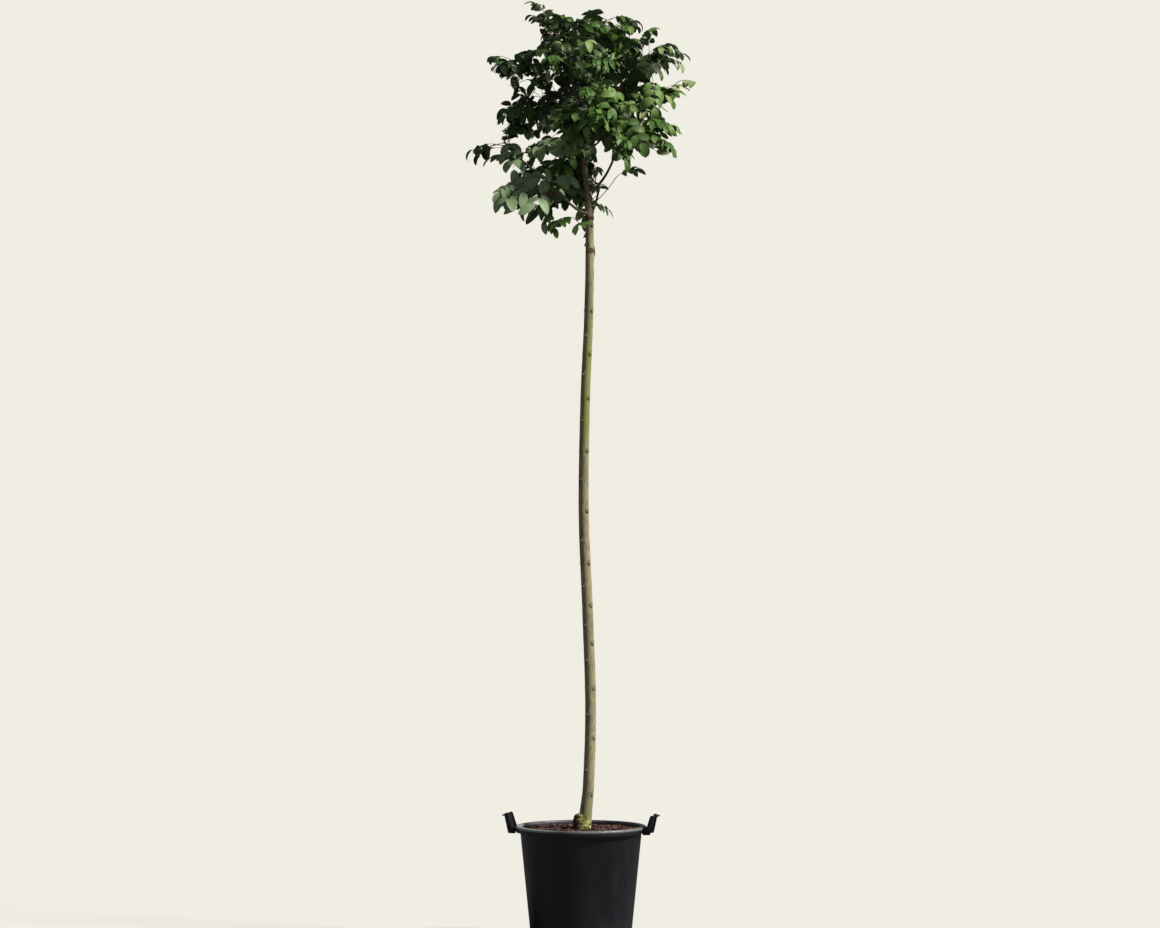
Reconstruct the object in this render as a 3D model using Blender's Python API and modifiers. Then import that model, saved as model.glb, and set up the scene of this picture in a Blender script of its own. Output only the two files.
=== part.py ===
"""A manna ash grown as a standard: a round crown on a two-metre clear stem, in its nursery pot.

The frame: the origin is the centre of the pot's flat underside, +Z is up, and the tree is seen
along +Y, with +X to the right. All sizes are in metres.
"""

import math
import random

import bmesh
import bpy
from mathutils import Matrix, Vector
from mathutils.bvhtree import BVHTree

GAP = 0.0003
UP = Vector((0, 0, 1))

# Pot: a tapered round container with a turned-down lip and two lifting lugs
POT_HEIGHT = 0.385
POT_BASE_RADIUS = 0.166
POT_TOP_RADIUS = 0.2045
POT_WALL = 0.003
POT_FLOOR = 0.004
RIM_RADIUS = 0.218
RIM_DEPTH = 0.020
RIM_THICKNESS = 0.006
RIM_ROUND = 0.004
ROUND_STEPS = 36
DRAIN_COUNT = 8
DRAIN_RADIUS = 0.008
DRAIN_HEIGHT = 0.018
DRAIN_SIDES = 8

# Lugs: a shelf, an upright web that leans out, a lip on it, and a rib at each end
LUG_AZIMUTHS = {"lug_left": 171, "lug_right": 351}
LUG_LENGTH = 0.092
LUG_REACH = 0.0165
LUG_FOOT = 0.360
LUG_SHELF_TOP = 0.379
LUG_TOP = 0.422
LUG_LEAN = 0.012
LUG_LIP = 0.013
LUG_PLATE = 0.0035
LUG_RIB_DEPTH = 0.013
LUG_RIB_THICKNESS = 0.006
LUG_ROOT = 0.012
LUG_ROUND = 0.003
CUT_SIDES = 96

# Soil: bark compost that fills the pot to just under its rim
SOIL_TOP = 0.3620
SOIL_EDGE_TOP = 0.3565
SOIL_FLAT_RADIUS = 0.060

# Trunk: height above the ground, then how far the centreline stands from the pot's axis along X and Y
TRUNK_BENDS = (
    (0.345, 0.001, 0.000),
    (0.425, 0.010, 0.000),
    (0.520, 0.025, 0.001),
    (0.780, 0.032, 0.004),
    (1.100, 0.022, 0.006),
    (1.430, 0.009, 0.004),
    (1.800, 0.014, -0.003),
    (2.100, 0.026, -0.005),
    (2.380, 0.028, -0.002),
    (2.620, 0.010, 0.002),
    (2.800, -0.001, 0.000),
    (2.960, -0.011, 0.002),
)
# Height and radius: the graft's swelling at the foot, the long taper, then the leader through the crown
TRUNK_RADII = (
    (0.345, 0.0285),
    (0.385, 0.0300),
    (0.412, 0.0290),
    (0.440, 0.0210),
    (0.500, 0.0192),
    (1.200, 0.0176),
    (2.330, 0.0140),
    (2.440, 0.0130),
    (2.620, 0.0090),
    (2.800, 0.0065),
    (2.960, 0.0035),
)
CLEAR_STEM_FOOT = 0.460
TRUNK_RINGS = 34
TRUNK_SIDES = 10

# Knots: scars of the pruned side shoots, in opposite pairs turned a quarter from one pair to the next
LOWEST_KNOT = 0.490
KNOT_SPACINGS = (0.080, 0.108, 0.078, 0.087, 0.093, 0.057, 0.060, 0.067, 0.063, 0.077, 0.077,
                 0.097, 0.103, 0.097, 0.102, 0.075, 0.078, 0.068, 0.060, 0.084, 0.200, 0.085)
KNOT_AZIMUTH = 318
KNOT_RADIUS = 0.0062
KNOT_STAND = 0.0035

# Boughs leave the leader in opposite pairs.
# Each row: name, height of the fork, azimuth, reach outwards, rise, radius at the fork
BOUGHS = (
    ("bough_front_left", 2.425, 232, 0.115, 0.045, 0.0055),
    ("bough_back_low", 2.425, 76, 0.125, 0.085, 0.0055),
    ("bough_left_low", 2.495, 181, 0.225, 0.125, 0.0060),
    ("bough_right_low", 2.505, 358, 0.088, 0.130, 0.0055),
    ("bough_front", 2.590, 284, 0.120, 0.065, 0.0050),
    ("bough_back", 2.590, 98, 0.130, 0.080, 0.0050),
    ("bough_left_mid", 2.640, 208, 0.075, 0.090, 0.0042),
    ("bough_right_mid", 2.640, 28, 0.090, 0.080, 0.0042),
    ("bough_left_top", 2.690, 174, 0.185, 0.135, 0.0048),
    ("bough_right_top", 2.700, 354, 0.125, 0.150, 0.0048),
    ("bough_right", 2.770, 14, 0.160, 0.020, 0.0042),
    ("bough_front_top", 2.770, 252, 0.095, 0.090, 0.0042),
    ("bough_top_left", 2.860, 196, 0.055, 0.085, 0.0036),
    ("bough_back_top", 2.860, 74, 0.095, 0.045, 0.0038),
)
BOUGH_RINGS = 6
BOUGH_TAPER = 0.62
BOUGH_SIDES = 6
BOUGH_COLLAR = 0.006
BOUGH_LEAD = (0.50, 0.18)

# Leaf masses, each in an egg-shaped space of its own.
# Each row: name, what its stem grows from, centre of the space, half-extents, droop, seed
MASSES = (
    ("foliage_low_left", "bough_front_left", (-0.170, -0.110, 2.460), (0.180, 0.160, 0.140), 0.70, 11),
    ("foliage_low_back", "bough_back_low", (-0.060, 0.180, 2.540), (0.150, 0.160, 0.130), 0.60, 40),
    ("foliage_left_low", "bough_left_low", (-0.260, 0.000, 2.680), (0.135, 0.180, 0.140), 0.40, 69),
    ("foliage_right_low", "bough_right_low", (0.220, -0.050, 2.670), (0.175, 0.180, 0.120), 0.55, 92),
    ("foliage_front", "bough_front", (0.050, -0.220, 2.720), (0.180, 0.160, 0.150), 0.55, 103),
    ("foliage_back", "bough_back", (0.030, 0.250, 2.740), (0.180, 0.150, 0.150), 0.50, 102),
    ("foliage_left_mid", "bough_left_mid", (-0.130, -0.060, 2.770), (0.130, 0.160, 0.130), 0.45, 93),
    ("foliage_right_mid", "bough_right_mid", (0.110, 0.040, 2.800), (0.130, 0.140, 0.130), 0.40, 19),
    ("foliage_left_top", "bough_left_top", (-0.235, 0.010, 2.900), (0.125, 0.170, 0.120), 0.40, 103),
    ("foliage_right_top", "bough_right_top", (0.240, -0.010, 2.950), (0.135, 0.170, 0.115), 0.35, 49),
    ("foliage_right", "bough_right", (0.270, 0.060, 2.800), (0.130, 0.180, 0.090), 0.45, 48),
    ("foliage_front_top", "bough_front_top", (-0.020, -0.170, 2.930), (0.180, 0.160, 0.130), 0.45, 88),
    ("foliage_top_left", "bough_top_left", (-0.110, 0.010, 3.025), (0.130, 0.170, 0.110), 0.30, 20),
    ("foliage_back_top", "bough_back_top", (0.060, 0.190, 2.950), (0.180, 0.160, 0.130), 0.40, 115),
    ("foliage_top", "trunk", (0.095, 0.000, 3.040), (0.160, 0.160, 0.095), 0.30, 57),
)
# Sky that shows right through the crown: centre along X and Z, half-width, half-height
SKY_GAPS = (
    (0.180, 2.470, 0.120, 0.130),
    (0.085, 2.620, 0.035, 0.040),
    (-0.150, 2.825, 0.028, 0.020),
)

# Growth rule: where a stem forks, how wide, and how long its twigs are
STEM_NODES = (0.30, 0.55, 0.80)
STEM_RINGS = 5
STEM_PAST_CENTRE = 0.05
STEM_RADIUS = 0.0032
STEM_TAPER = 0.10
STEM_SOCKET = 0.006
FORK_ANGLE = 60
FORK_JITTER = 12
FORK_ROLL_JITTER = 14
FORK_STAGGER = 0.002
TWIG_RADIUS = 0.0024
TWIG_SHORTEST = 0.020
TWIG_LONGEST = 0.110
TWIG_LIFT = 0.10
UPTURN = 0.20
ROOM_STEP = 0.010
ROOM_FARTHEST = 0.400

# A leaf: an arched stalk with two pairs of blades and an end blade, two fifths larger than life
STALK_RADIUS = 0.0018
STALK_TAPER = 0.15
LEAF_LENGTH = 0.085
LEAF_SIZES = (0.88, 1.08)
LEAF_REACH = 0.150
LEAF_SPREAD = 60
LEAF_SPREAD_JITTER = 12
LEAF_ROLL_JITTER = 35
LEAF_HEAD_JITTER = 0.12
LEAF_SINK = 0.002
LEAF_PAIR_BACKS = (0.010, 0.006)
LEAF_TRIES = 12
FEWEST_BLADES = 4
PAIR_PLACES = (0.62, 0.84)
BLADE_LENGTH = 0.090
BLADE_WIDTH = 0.050
BLADE_SIZES = (0.86, 1.04)
BLADE_THICKNESS = 0.0016
BLADE_WAIST = 0.44
BLADE_ARCH = 0.08
BLADE_SAG = 0.10
BLADE_FOLD = 0.08
BLADE_ANGLE = 60
BLADE_ANGLE_JITTER = 8
BLADE_DROOPS = (-0.25, 0.05)
BLADE_ROOT_SINK = 0.004
BLADE_STAGGER = 0.0015
BLADE_OFFSET = 0.0003
FACING_OUT = 0.45
FACING_JITTER = (0.50, 0.50, 0.25)

# How clear a twig, a stalk and a blade keep of the limbs, and a mass of the spaces beside it
TWIG_CLEARANCE = 0.004
STALK_CLEARANCE = 0.003
BLADE_CLEARANCE = 0.0012
SPACE_MARGIN = 0.025
LINE_STEP = 0.005
ROOT_TRIM = 0.25

# Colour, roughness and metallic value of each finish
FINISHES = {
    "pot_plastic": ((0.012, 0.013, 0.016), 0.45, 0.0),
    "compost": ((0.050, 0.018, 0.013), 0.95, 0.0),
    "bark": ((0.230, 0.190, 0.105), 0.80, 0.0),
    "young_bark": ((0.170, 0.120, 0.075), 0.75, 0.0),
    "foliage": ((0.045, 0.110, 0.030), 0.55, 0.0),
}


def finish(name, owner):
    """A plain surface for one sub-part, named after it."""
    colour, roughness, metallic = FINISHES[name]
    material = bpy.data.materials.new(f"{owner}_{name}")
    material.use_nodes = True
    shader = material.node_tree.nodes["Principled BSDF"]
    shader.inputs["Base Color"].default_value = (*colour, 1)
    shader.inputs["Roughness"].default_value = roughness
    shader.inputs["Metallic"].default_value = metallic
    return material


def new_collection(name):
    collection = bpy.data.collections.new(name)
    bpy.context.scene.collection.children.link(collection)
    return collection


def remove_collection(collection):
    """Removes a collection of finished operands, objects and all."""
    for thing in list(collection.objects):
        bpy.data.objects.remove(thing)
    bpy.data.collections.remove(collection)


def object_from(bm, name, collection):
    """Turns a bmesh into a named object of the given collection."""
    mesh = bpy.data.meshes.new(name)
    bm.to_mesh(mesh)
    bm.free()
    thing = bpy.data.objects.new(name, mesh)
    collection.objects.link(thing)
    return thing


def meshed(thing, name, weld=True):
    """Replaces a curve, or an object with modifiers, by the plain mesh it makes, its caps welded on."""
    bpy.context.view_layer.update()
    graph = bpy.context.evaluated_depsgraph_get()
    mesh = bpy.data.meshes.new_from_object(thing.evaluated_get(graph))
    if weld:
        bm = bmesh.new()
        bm.from_mesh(mesh)
        bmesh.ops.remove_doubles(bm, verts=bm.verts, dist=1e-6)
        bm.to_mesh(mesh)
        bm.free()
    mesh.name = name
    placed = bpy.data.objects.new("placed", mesh)
    placed.matrix_world = thing.matrix_world
    for collection in thing.users_collection:
        collection.objects.link(placed)
    bpy.data.objects.remove(thing)
    placed.name = name
    return placed


def smooth(thing, angle=40):
    thing.data.shade_smooth()
    thing.data.set_sharp_from_angle(angle=math.radians(angle))


def turned(profile, name, collection):
    """A round piece: the profile, from its start on the axis to its end on the axis, swept about Z."""
    bm = bmesh.new()
    points = [bm.verts.new((radius, 0, height)) for radius, height in profile]
    for first, second in zip(points, points[1:]):
        bm.edges.new((first, second))
    thing = object_from(bm, name, collection)
    screw = thing.modifiers.new("turn", "SCREW")
    screw.axis = "Z"
    screw.angle = math.tau
    screw.steps = ROUND_STEPS
    screw.render_steps = ROUND_STEPS
    screw.use_merge_vertices = True
    screw.merge_threshold = 0.0001
    return meshed(thing, name)


def tube(points, radii, name, collection, sides=None, section=None):
    """A tapering limb: a curve with filled caps, round with an even number of sides or along a section."""
    curve = bpy.data.curves.new(name, "CURVE")
    curve.dimensions = "3D"
    curve.use_fill_caps = True
    curve.twist_mode = "MINIMUM"
    if section:
        curve.bevel_mode = "OBJECT"
        curve.bevel_object = section
    else:
        curve.bevel_depth = 1.0
        curve.bevel_resolution = (sides - 4) // 2
    spline = curve.splines.new("POLY")
    spline.points.add(len(points) - 1)
    for place, point, radius in zip(spline.points, points, radii):
        place.co = (*point, 1)
        place.radius = radius
    thing = bpy.data.objects.new(name, curve)
    collection.objects.link(thing)
    return meshed(thing, name)


def three_sided_section(collection):
    """The cross-section of a twig, with its corners one unit from the middle."""
    curve = bpy.data.curves.new("twig_section", "CURVE")
    curve.dimensions = "2D"
    spline = curve.splines.new("POLY")
    spline.points.add(2)
    spline.use_cyclic_u = True
    for corner, place in enumerate(spline.points):
        angle = -math.tau * corner / 3
        place.co = (math.cos(angle), math.sin(angle), 0, 1)
    section = bpy.data.objects.new("twig_section", curve)
    section.hide_render = True
    collection.objects.link(section)
    return section


def boolean(target, operation, name, operand=None, operands=None, solver="EXACT"):
    """Cuts or joins the target with one object or with a collection of them: the plain result."""
    step = target.modifiers.new("shape", "BOOLEAN")
    step.operation = operation
    step.solver = solver
    if operands:
        step.operand_type = "COLLECTION"
        step.collection = operands
    else:
        step.object = operand
    return meshed(target, name, weld=False)


def eased(table, height, column):
    """The value of a column at a height, along a smooth curve through the rows of a table."""
    rows = sorted(table)
    if height <= rows[0][0]:
        return rows[0][column]
    for index in range(len(rows) - 1):
        low, high = rows[index], rows[index + 1]
        if height <= high[0]:
            break
    else:
        return rows[-1][column]
    before = rows[max(index - 1, 0)]
    after = rows[min(index + 2, len(rows) - 1)]
    span = high[0] - low[0]
    slope_low = (high[column] - before[column]) / (high[0] - before[0])
    slope_high = (after[column] - low[column]) / (after[0] - low[0])
    t = (height - low[0]) / span
    return ((2 * t ** 3 - 3 * t ** 2 + 1) * low[column] + (t ** 3 - 2 * t ** 2 + t) * span * slope_low
            + (3 * t ** 2 - 2 * t ** 3) * high[column] + (t ** 3 - t ** 2) * span * slope_high)


def trunk_centre(height):
    return Vector((eased(TRUNK_BENDS, height, 1), eased(TRUNK_BENDS, height, 2), height))


def trunk_radius(height):
    return eased(TRUNK_RADII, height, 1)


def outward(azimuth):
    angle = math.radians(azimuth)
    return Vector((math.cos(angle), math.sin(angle), 0))


def arc(start, lead, end, count):
    """Points along a bent line from start to end that sets off towards lead."""
    steps = [index / (count - 1) for index in range(count)]
    return [start * (1 - t) ** 2 + lead * 2 * t * (1 - t) + end * t * t for t in steps]


def bough_path(fork_height, azimuth, reach, rise):
    """A bough sets off square to the leader, then turns up."""
    out = outward(azimuth)
    start = trunk_centre(fork_height) + out * (trunk_radius(fork_height) + GAP)
    end = start + out * reach + UP * rise
    collar = start + out * BOUGH_COLLAR
    lead = collar + out * reach * BOUGH_LEAD[0] + UP * rise * BOUGH_LEAD[1]
    return [start] + arc(collar, lead, end, BOUGH_RINGS - 1)


def in_reach(point, mass):
    """How far a point is from the middle of a mass, where 1 is the edge of its space."""
    centre, half = mass[2], mass[3]
    return math.sqrt(sum(((point[i] - centre[i]) / half[i]) ** 2 for i in range(3)))


def in_sky(point):
    """Whether a point stands in one of the gaps, which run right through the crown along Y."""
    for x, z, wide, tall in SKY_GAPS:
        if ((point[0] - x) / wide) ** 2 + ((point[2] - z) / tall) ** 2 < 1:
            return True
    return False


def in_space(point, mass):
    """A mass keeps to its own space: in its reach, nearer to it than to any other, out of the sky gaps."""
    own = in_reach(point, mass)
    if own > 1 or in_sky(point):
        return False
    return all(own + SPACE_MARGIN < in_reach(point, other) for other in MASSES if other is not mass)


def room_along(start, heading, mass):
    """How far a straight line from a point stays in the space of its mass."""
    distance = 0.0
    while distance < ROOM_FARTHEST and in_space(start + heading * (distance + ROOM_STEP), mass):
        distance += ROOM_STEP
    return distance


def across(heading, turn):
    """The direction square to a heading, turned about it; no turn is level."""
    level = heading.cross(UP)
    level = level.normalized() if level.length > 0.05 else Vector((1, 0, 0))
    return Matrix.Rotation(math.radians(turn), 3, heading) @ level


def blade_corners(root, along, up, length):
    """Root, tip, both sides, top and underside of a blade that is folded at its midrib and arched."""
    size = length / BLADE_LENGTH
    up = (up - along * up.dot(along)).normalized()
    side = up.cross(along)
    waist = root + along * length * BLADE_WAIST + up * length * BLADE_ARCH
    half_width = BLADE_WIDTH * size / 2
    edge = waist - up * half_width * BLADE_FOLD * 2
    half_thick = BLADE_THICKNESS * size / 2
    return {
        "root": root,
        "tip": root + along * length - up * length * BLADE_SAG,
        "left": edge - side * half_width,
        "right": edge + side * half_width,
        "top": waist + up * half_thick,
        "under": waist - up * half_thick,
    }


def leaf_facing(point, rng):
    """The way a leaf's upper side faces: up and out of the crown, no two quite alike."""
    out = point - trunk_centre(point.z)
    out.z = 0
    jitter = Vector([rng.gauss(0, spread) for spread in FACING_JITTER])
    return (UP + out.normalized() * FACING_OUT + jitter).normalized()


def grow_leaf(base, heading, size, droop, rng):
    """One leaf: the points of its arched stalk and the corners of its blades."""
    length = LEAF_LENGTH * size
    lead = base + heading * length * 0.5
    end = base + heading * length - UP * length * droop
    stalk = arc(base, lead, end, 3)
    along = (stalk[2] - stalk[1]).normalized()
    facing = leaf_facing(end, rng)
    blades = []
    places = [(place, side) for place in PAIR_PLACES for side in (-1, 1)] + [(1.0, 0)]
    for place, side in places:
        at = stalk[1].lerp(stalk[2], place * 2 - 1)
        up = (facing - along * facing.dot(along)).normalized()
        sideways = along.cross(up)
        angle = math.radians(BLADE_ANGLE + rng.uniform(-BLADE_ANGLE_JITTER, BLADE_ANGLE_JITTER)) * side
        level = along * math.cos(angle) + sideways * math.sin(angle)
        head = (level + up * rng.uniform(*BLADE_DROOPS)).normalized()
        root = at - along * (BLADE_ROOT_SINK + BLADE_STAGGER * side) + sideways * BLADE_OFFSET * side
        blade_length = BLADE_LENGTH * size * rng.uniform(*BLADE_SIZES)
        blades.append(blade_corners(root, head, up, blade_length))
    return stalk, blades


def tree_of(meshes):
    """A search tree over the triangles of some meshes."""
    corners, faces = [], []
    for thing in meshes:
        offset = len(corners)
        corners += [thing.matrix_world @ vertex.co for vertex in thing.data.vertices]
        faces += [[offset + index for index in face.vertices] for face in thing.data.polygons]
    return BVHTree.FromPolygons(corners, faces)


BLADE_FACES = (
    ("root", "left", "top"), ("root", "top", "right"),
    ("root", "right", "under"), ("root", "under", "left"),
    ("tip", "top", "left"), ("tip", "right", "top"),
    ("tip", "under", "right"), ("tip", "left", "under"),
)


def blade_tree(blade, trim=0.0):
    """A search tree over a blade, or over a blade whose root is drawn back by a share of its length."""
    keys = list(blade)
    corners = [blade[key] for key in keys]
    corners[keys.index("root")] = blade["root"].lerp(blade["top"], trim)
    return BVHTree.FromPolygons(corners, [[keys.index(key) for key in face] for face in BLADE_FACES])


def stops_along(points):
    """Closely spaced points along a bent line."""
    stops = [points[0]]
    for first, second in zip(points, points[1:]):
        count = math.ceil((second - first).length / LINE_STEP)
        stops += [first.lerp(second, (index + 1) / count) for index in range(count)]
    return stops


def clear_of(points, trees, clearance):
    """Whether every point stands clear of everything in some search trees."""
    for tree in trees:
        if any(tree.find_nearest(point)[3] <= clearance for point in points):
            return False
    return True


def kept_blades(blades, mass, solid_trees, others):
    """The blades that stay in the space and touch no solid and no other blade, each with its tree."""
    kept, trees = [], []
    for blade in blades:
        corners = [blade[key] for key in blade if key != "root"]
        if not all(in_space(corner, mass) for corner in corners):
            continue
        if not clear_of(corners, solid_trees, BLADE_CLEARANCE):
            continue
        whole = blade_tree(blade)
        if any(whole.overlap(solid) for solid in solid_trees):
            continue
        tree = blade_tree(blade, ROOT_TRIM)
        if any(tree.overlap(other) for other in others + trees):
            continue
        kept.append(blade)
        trees.append(tree)
    return kept, trees


def twig_sites(twig, rng):
    """Where the leaves at a twig's end set off: an end leaf and a pair just under it."""
    tip_along = (twig[2] - twig[1]).normalized()
    sites = [(twig[2] - tip_along * LEAF_SINK, tip_along)]
    roll = rng.uniform(-LEAF_ROLL_JITTER, LEAF_ROLL_JITTER)
    for side, back in zip((0, 180), LEAF_PAIR_BACKS):
        turn = math.radians(LEAF_SPREAD + rng.uniform(-LEAF_SPREAD_JITTER, LEAF_SPREAD_JITTER))
        head = tip_along * math.cos(turn) + across(tip_along, roll + side) * math.sin(turn)
        sites.append((twig[2] - tip_along * back, head.normalized()))
    return sites


def stem_start(parent):
    """Where a mass's stem begins, and which way it sets off."""
    if parent == "trunk":
        below, top = (trunk_centre(height) for height in trunk_heights()[-2:])
        along = (top - below).normalized()
        return top + along * GAP, along
    row = next(row for row in BOUGHS if row[0] == parent)
    points = bough_path(*row[1:5])
    along = (points[-1] - points[-2]).normalized()
    return points[-1] + along * GAP, along


def stem_path(mass):
    """The stem of a mass: a short straight foot on its bough's tip, then a bend to the space's middle."""
    start, heading = stem_start(mass[1])
    centre = Vector(mass[2])
    socket = start + heading * STEM_SOCKET
    lead = socket + heading * (centre - start).length * 0.5
    end = centre + (centre - start) * STEM_PAST_CENTRE
    return [start] + arc(socket, lead, end, STEM_RINGS)


def make_stem(mass, section, parts):
    radii = [STEM_RADIUS * (1 - STEM_TAPER * max(ring - 1, 0)) for ring in range(STEM_RINGS + 1)]
    return tube(stem_path(mass), radii, mass[0], parts, section=section)


def grow_twigs(mass, solid_trees, rng):
    """The opposite twigs at the nodes of a mass's stem, and the places where leaves set off."""
    stem = stem_path(mass)[1:]
    twigs = []
    tip_along = (stem[-1] - stem[-2]).normalized()
    sites = [(stem[-1] - tip_along * LEAF_SINK, tip_along)]
    first_turn = rng.uniform(0, 180)
    for index, node in enumerate(STEM_NODES):
        place = node * (STEM_RINGS - 1)
        low = int(place)
        along = (stem[low + 1] - stem[low]).normalized()
        for side, stagger in ((0, -FORK_STAGGER), (180, FORK_STAGGER)):
            at = stem[low].lerp(stem[low + 1], place - low) + along * stagger
            roll = first_turn + 90 * index + side + rng.uniform(-FORK_ROLL_JITTER, FORK_ROLL_JITTER)
            angle = math.radians(FORK_ANGLE + rng.uniform(-FORK_JITTER, FORK_JITTER))
            head = along * math.cos(angle) + across(along, roll) * math.sin(angle) + UP * UPTURN
            head.normalize()
            length = min(room_along(at, head, mass) - LEAF_REACH, TWIG_LONGEST)
            if length < TWIG_SHORTEST:
                sites.append((at, head))
                continue
            twig = arc(at, at + head * length * 0.5, at + (head + UP * TWIG_LIFT) * length, 3)
            if not clear_of(stops_along(twig), solid_trees, TWIG_CLEARANCE):
                continue
            twigs.append(twig)
            sites += twig_sites(twig, rng)
    return twigs, sites


def best_leaf(at, head, mass, solid_trees, trees, rng):
    """The fullest leaf of some tries that differ a little: its stalk, its blades and their trees."""
    best = (None, [], [])
    for attempt in range(LEAF_TRIES):
        turned_head = head + Vector([rng.gauss(0, LEAF_HEAD_JITTER) for axis in range(3)])
        size = rng.uniform(*LEAF_SIZES)
        stalk, blades = grow_leaf(at, turned_head.normalized(), size, mass[4], rng)
        if not all(in_space(point, mass) for point in stalk):
            continue
        if not clear_of(stops_along(stalk), solid_trees, STALK_CLEARANCE):
            continue
        kept, kept_trees = kept_blades(blades, mass, solid_trees, trees)
        if len(kept) > len(best[1]):
            best = (stalk, kept, kept_trees)
        if len(kept) == len(blades):
            break
    return best


def grow_mass(mass, solid_trees):
    """What grows on a stem by its seeded rule: opposite twigs at its nodes, and leaves at their ends.

    The solid trees are those of the trunk and boughs, the other stems and the masses grown before.
    A twig or leaf that would leave the space, touch a solid or run into another leaf is skipped.
    """
    rng = random.Random(mass[5])
    twigs, sites = grow_twigs(mass, solid_trees, rng)
    leaves, trees = [], []
    for at, head in sites:
        stalk, blades, blade_trees = best_leaf(at, head, mass, solid_trees, trees, rng)
        if len(blades) >= FEWEST_BLADES:
            leaves.append((stalk, blades))
            trees += blade_trees
    return twigs, leaves


def blade_object(blade, collection):
    """A blade of eight faces: a ball of four segments and two rings, pulled out to the blade's corners."""
    bm = bmesh.new()
    bmesh.ops.create_uvsphere(bm, u_segments=4, v_segments=2, radius=1.0)
    for vertex in bm.verts:
        x, y, z = vertex.co
        if abs(z) > 0.5:
            key = "tip" if z > 0 else "root"
        elif abs(x) > 0.5:
            key = "right" if x > 0 else "left"
        else:
            key = "top" if y > 0 else "under"
        vertex.co = blade[key]
    return object_from(bm, "blade", collection)


def largest_shell(thing):
    """Keeps the one outer skin: drops loose scraps and fills hollows that the joining sealed."""
    bm = bmesh.new()
    bm.from_mesh(thing.data)
    bmesh.ops.triangulate(bm, faces=bm.faces)
    unseen = set(bm.verts)
    shells = []
    while unseen:
        stack = [unseen.pop()]
        shell = set(stack)
        while stack:
            for edge in stack.pop().link_edges:
                for vertex in edge.verts:
                    if vertex in unseen:
                        unseen.discard(vertex)
                        shell.add(vertex)
                        stack.append(vertex)
        shells.append(shell)
    shells.sort(key=len)
    for shell in shells[:-1]:
        bmesh.ops.delete(bm, geom=list(shell), context="VERTS")
    bm.to_mesh(thing.data)
    bm.free()
    return thing


def make_mass(mass, stem, growth, section):
    """Joins the stem, twigs, stalks and blades of one mass into one solid."""
    twigs, leaves = growth
    pieces = new_collection(f"{mass[0]}_pieces")
    twig_radii = [TWIG_RADIUS * (1 - STEM_TAPER * ring) for ring in range(3)]
    stalk_radii = [STALK_RADIUS * (1 - STALK_TAPER * ring) for ring in range(3)]
    for twig in twigs:
        tube(twig, twig_radii, "twig", pieces, section=section)
    for stalk, blades in leaves:
        tube(stalk, stalk_radii, "stalk", pieces, section=section)
        for blade in blades:
            blade_object(blade, pieces)
    joined = largest_shell(boolean(stem, "UNION", mass[0], operands=pieces))
    remove_collection(pieces)
    joined.data.materials.append(finish("foliage", mass[0]))
    return joined


def wall_radius(height):
    """The outer radius of the pot's wall at a height."""
    return POT_BASE_RADIUS + (POT_TOP_RADIUS - POT_BASE_RADIUS) * height / POT_HEIGHT


def cylinder_cutter(radius, depth, sides, placing, name, collection):
    """A hidden cylinder to cut with, turned and moved by a matrix."""
    bm = bmesh.new()
    bmesh.ops.create_cone(bm, cap_ends=True, segments=sides, radius1=radius, radius2=radius, depth=depth)
    bmesh.ops.transform(bm, matrix=placing, verts=bm.verts)
    cutter = object_from(bm, name, collection)
    cutter.hide_render = True
    cutter.display_type = "WIRE"
    return cutter


def make_pot(parts):
    """The round wall and floor, with a rounded lip turned down outside and drain holes at the foot."""
    lip_foot = POT_HEIGHT - RIM_DEPTH
    lip_under = POT_HEIGHT - RIM_THICKNESS
    lip_inside = RIM_RADIUS - POT_WALL
    wall_inside = wall_radius(POT_HEIGHT) - POT_WALL
    profile = [
        (0, POT_FLOOR),
        (wall_radius(POT_FLOOR) - POT_WALL, POT_FLOOR),
        (wall_inside, POT_HEIGHT - RIM_ROUND),
        (wall_inside + RIM_ROUND * 0.75, POT_HEIGHT),
        (RIM_RADIUS - RIM_ROUND, POT_HEIGHT),
        (RIM_RADIUS - RIM_ROUND * 0.25, POT_HEIGHT - RIM_ROUND * 0.4),
        (RIM_RADIUS, POT_HEIGHT - RIM_ROUND * 1.25),
        (RIM_RADIUS, lip_foot),
        (lip_inside, lip_foot),
        (lip_inside, lip_under),
        (wall_radius(lip_under), lip_under),
        (wall_radius(POT_WALL), POT_WALL),
        (POT_BASE_RADIUS - RIM_ROUND * 0.5, 0),
        (0, 0),
    ]
    pot = turned(profile, "pot", parts)
    drains = new_collection("drain_cutters")
    for index in range(DRAIN_COUNT):
        azimuth = 360 * (index + 0.5) / DRAIN_COUNT
        middle = outward(azimuth) * (wall_radius(DRAIN_HEIGHT) - POT_WALL / 2) + UP * DRAIN_HEIGHT
        placing = Matrix.Translation(middle) @ outward(azimuth).to_track_quat("Z", "Y").to_matrix().to_4x4()
        cylinder_cutter(DRAIN_RADIUS, POT_WALL * 10, DRAIN_SIDES, placing, "drain_cutter", drains)
    pot = boolean(pot, "DIFFERENCE", "pot", operands=drains)
    remove_collection(drains)
    pot.data.materials.append(finish("pot_plastic", "pot"))
    smooth(pot)
    return pot


def make_soil(parts):
    """The compost that fills the pot, level round the stem and a little lower at the wall."""
    bottom = POT_FLOOR + GAP
    inset = POT_WALL + GAP * 2
    profile = [
        (0, SOIL_TOP),
        (SOIL_FLAT_RADIUS, SOIL_TOP),
        (wall_radius(SOIL_EDGE_TOP) - inset, SOIL_EDGE_TOP),
        (wall_radius(bottom) - inset, bottom),
        (0, bottom),
    ]
    soil = turned(profile, "soil", parts)
    soil.data.materials.append(finish("compost", "soil"))
    smooth(soil)
    return soil


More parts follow.
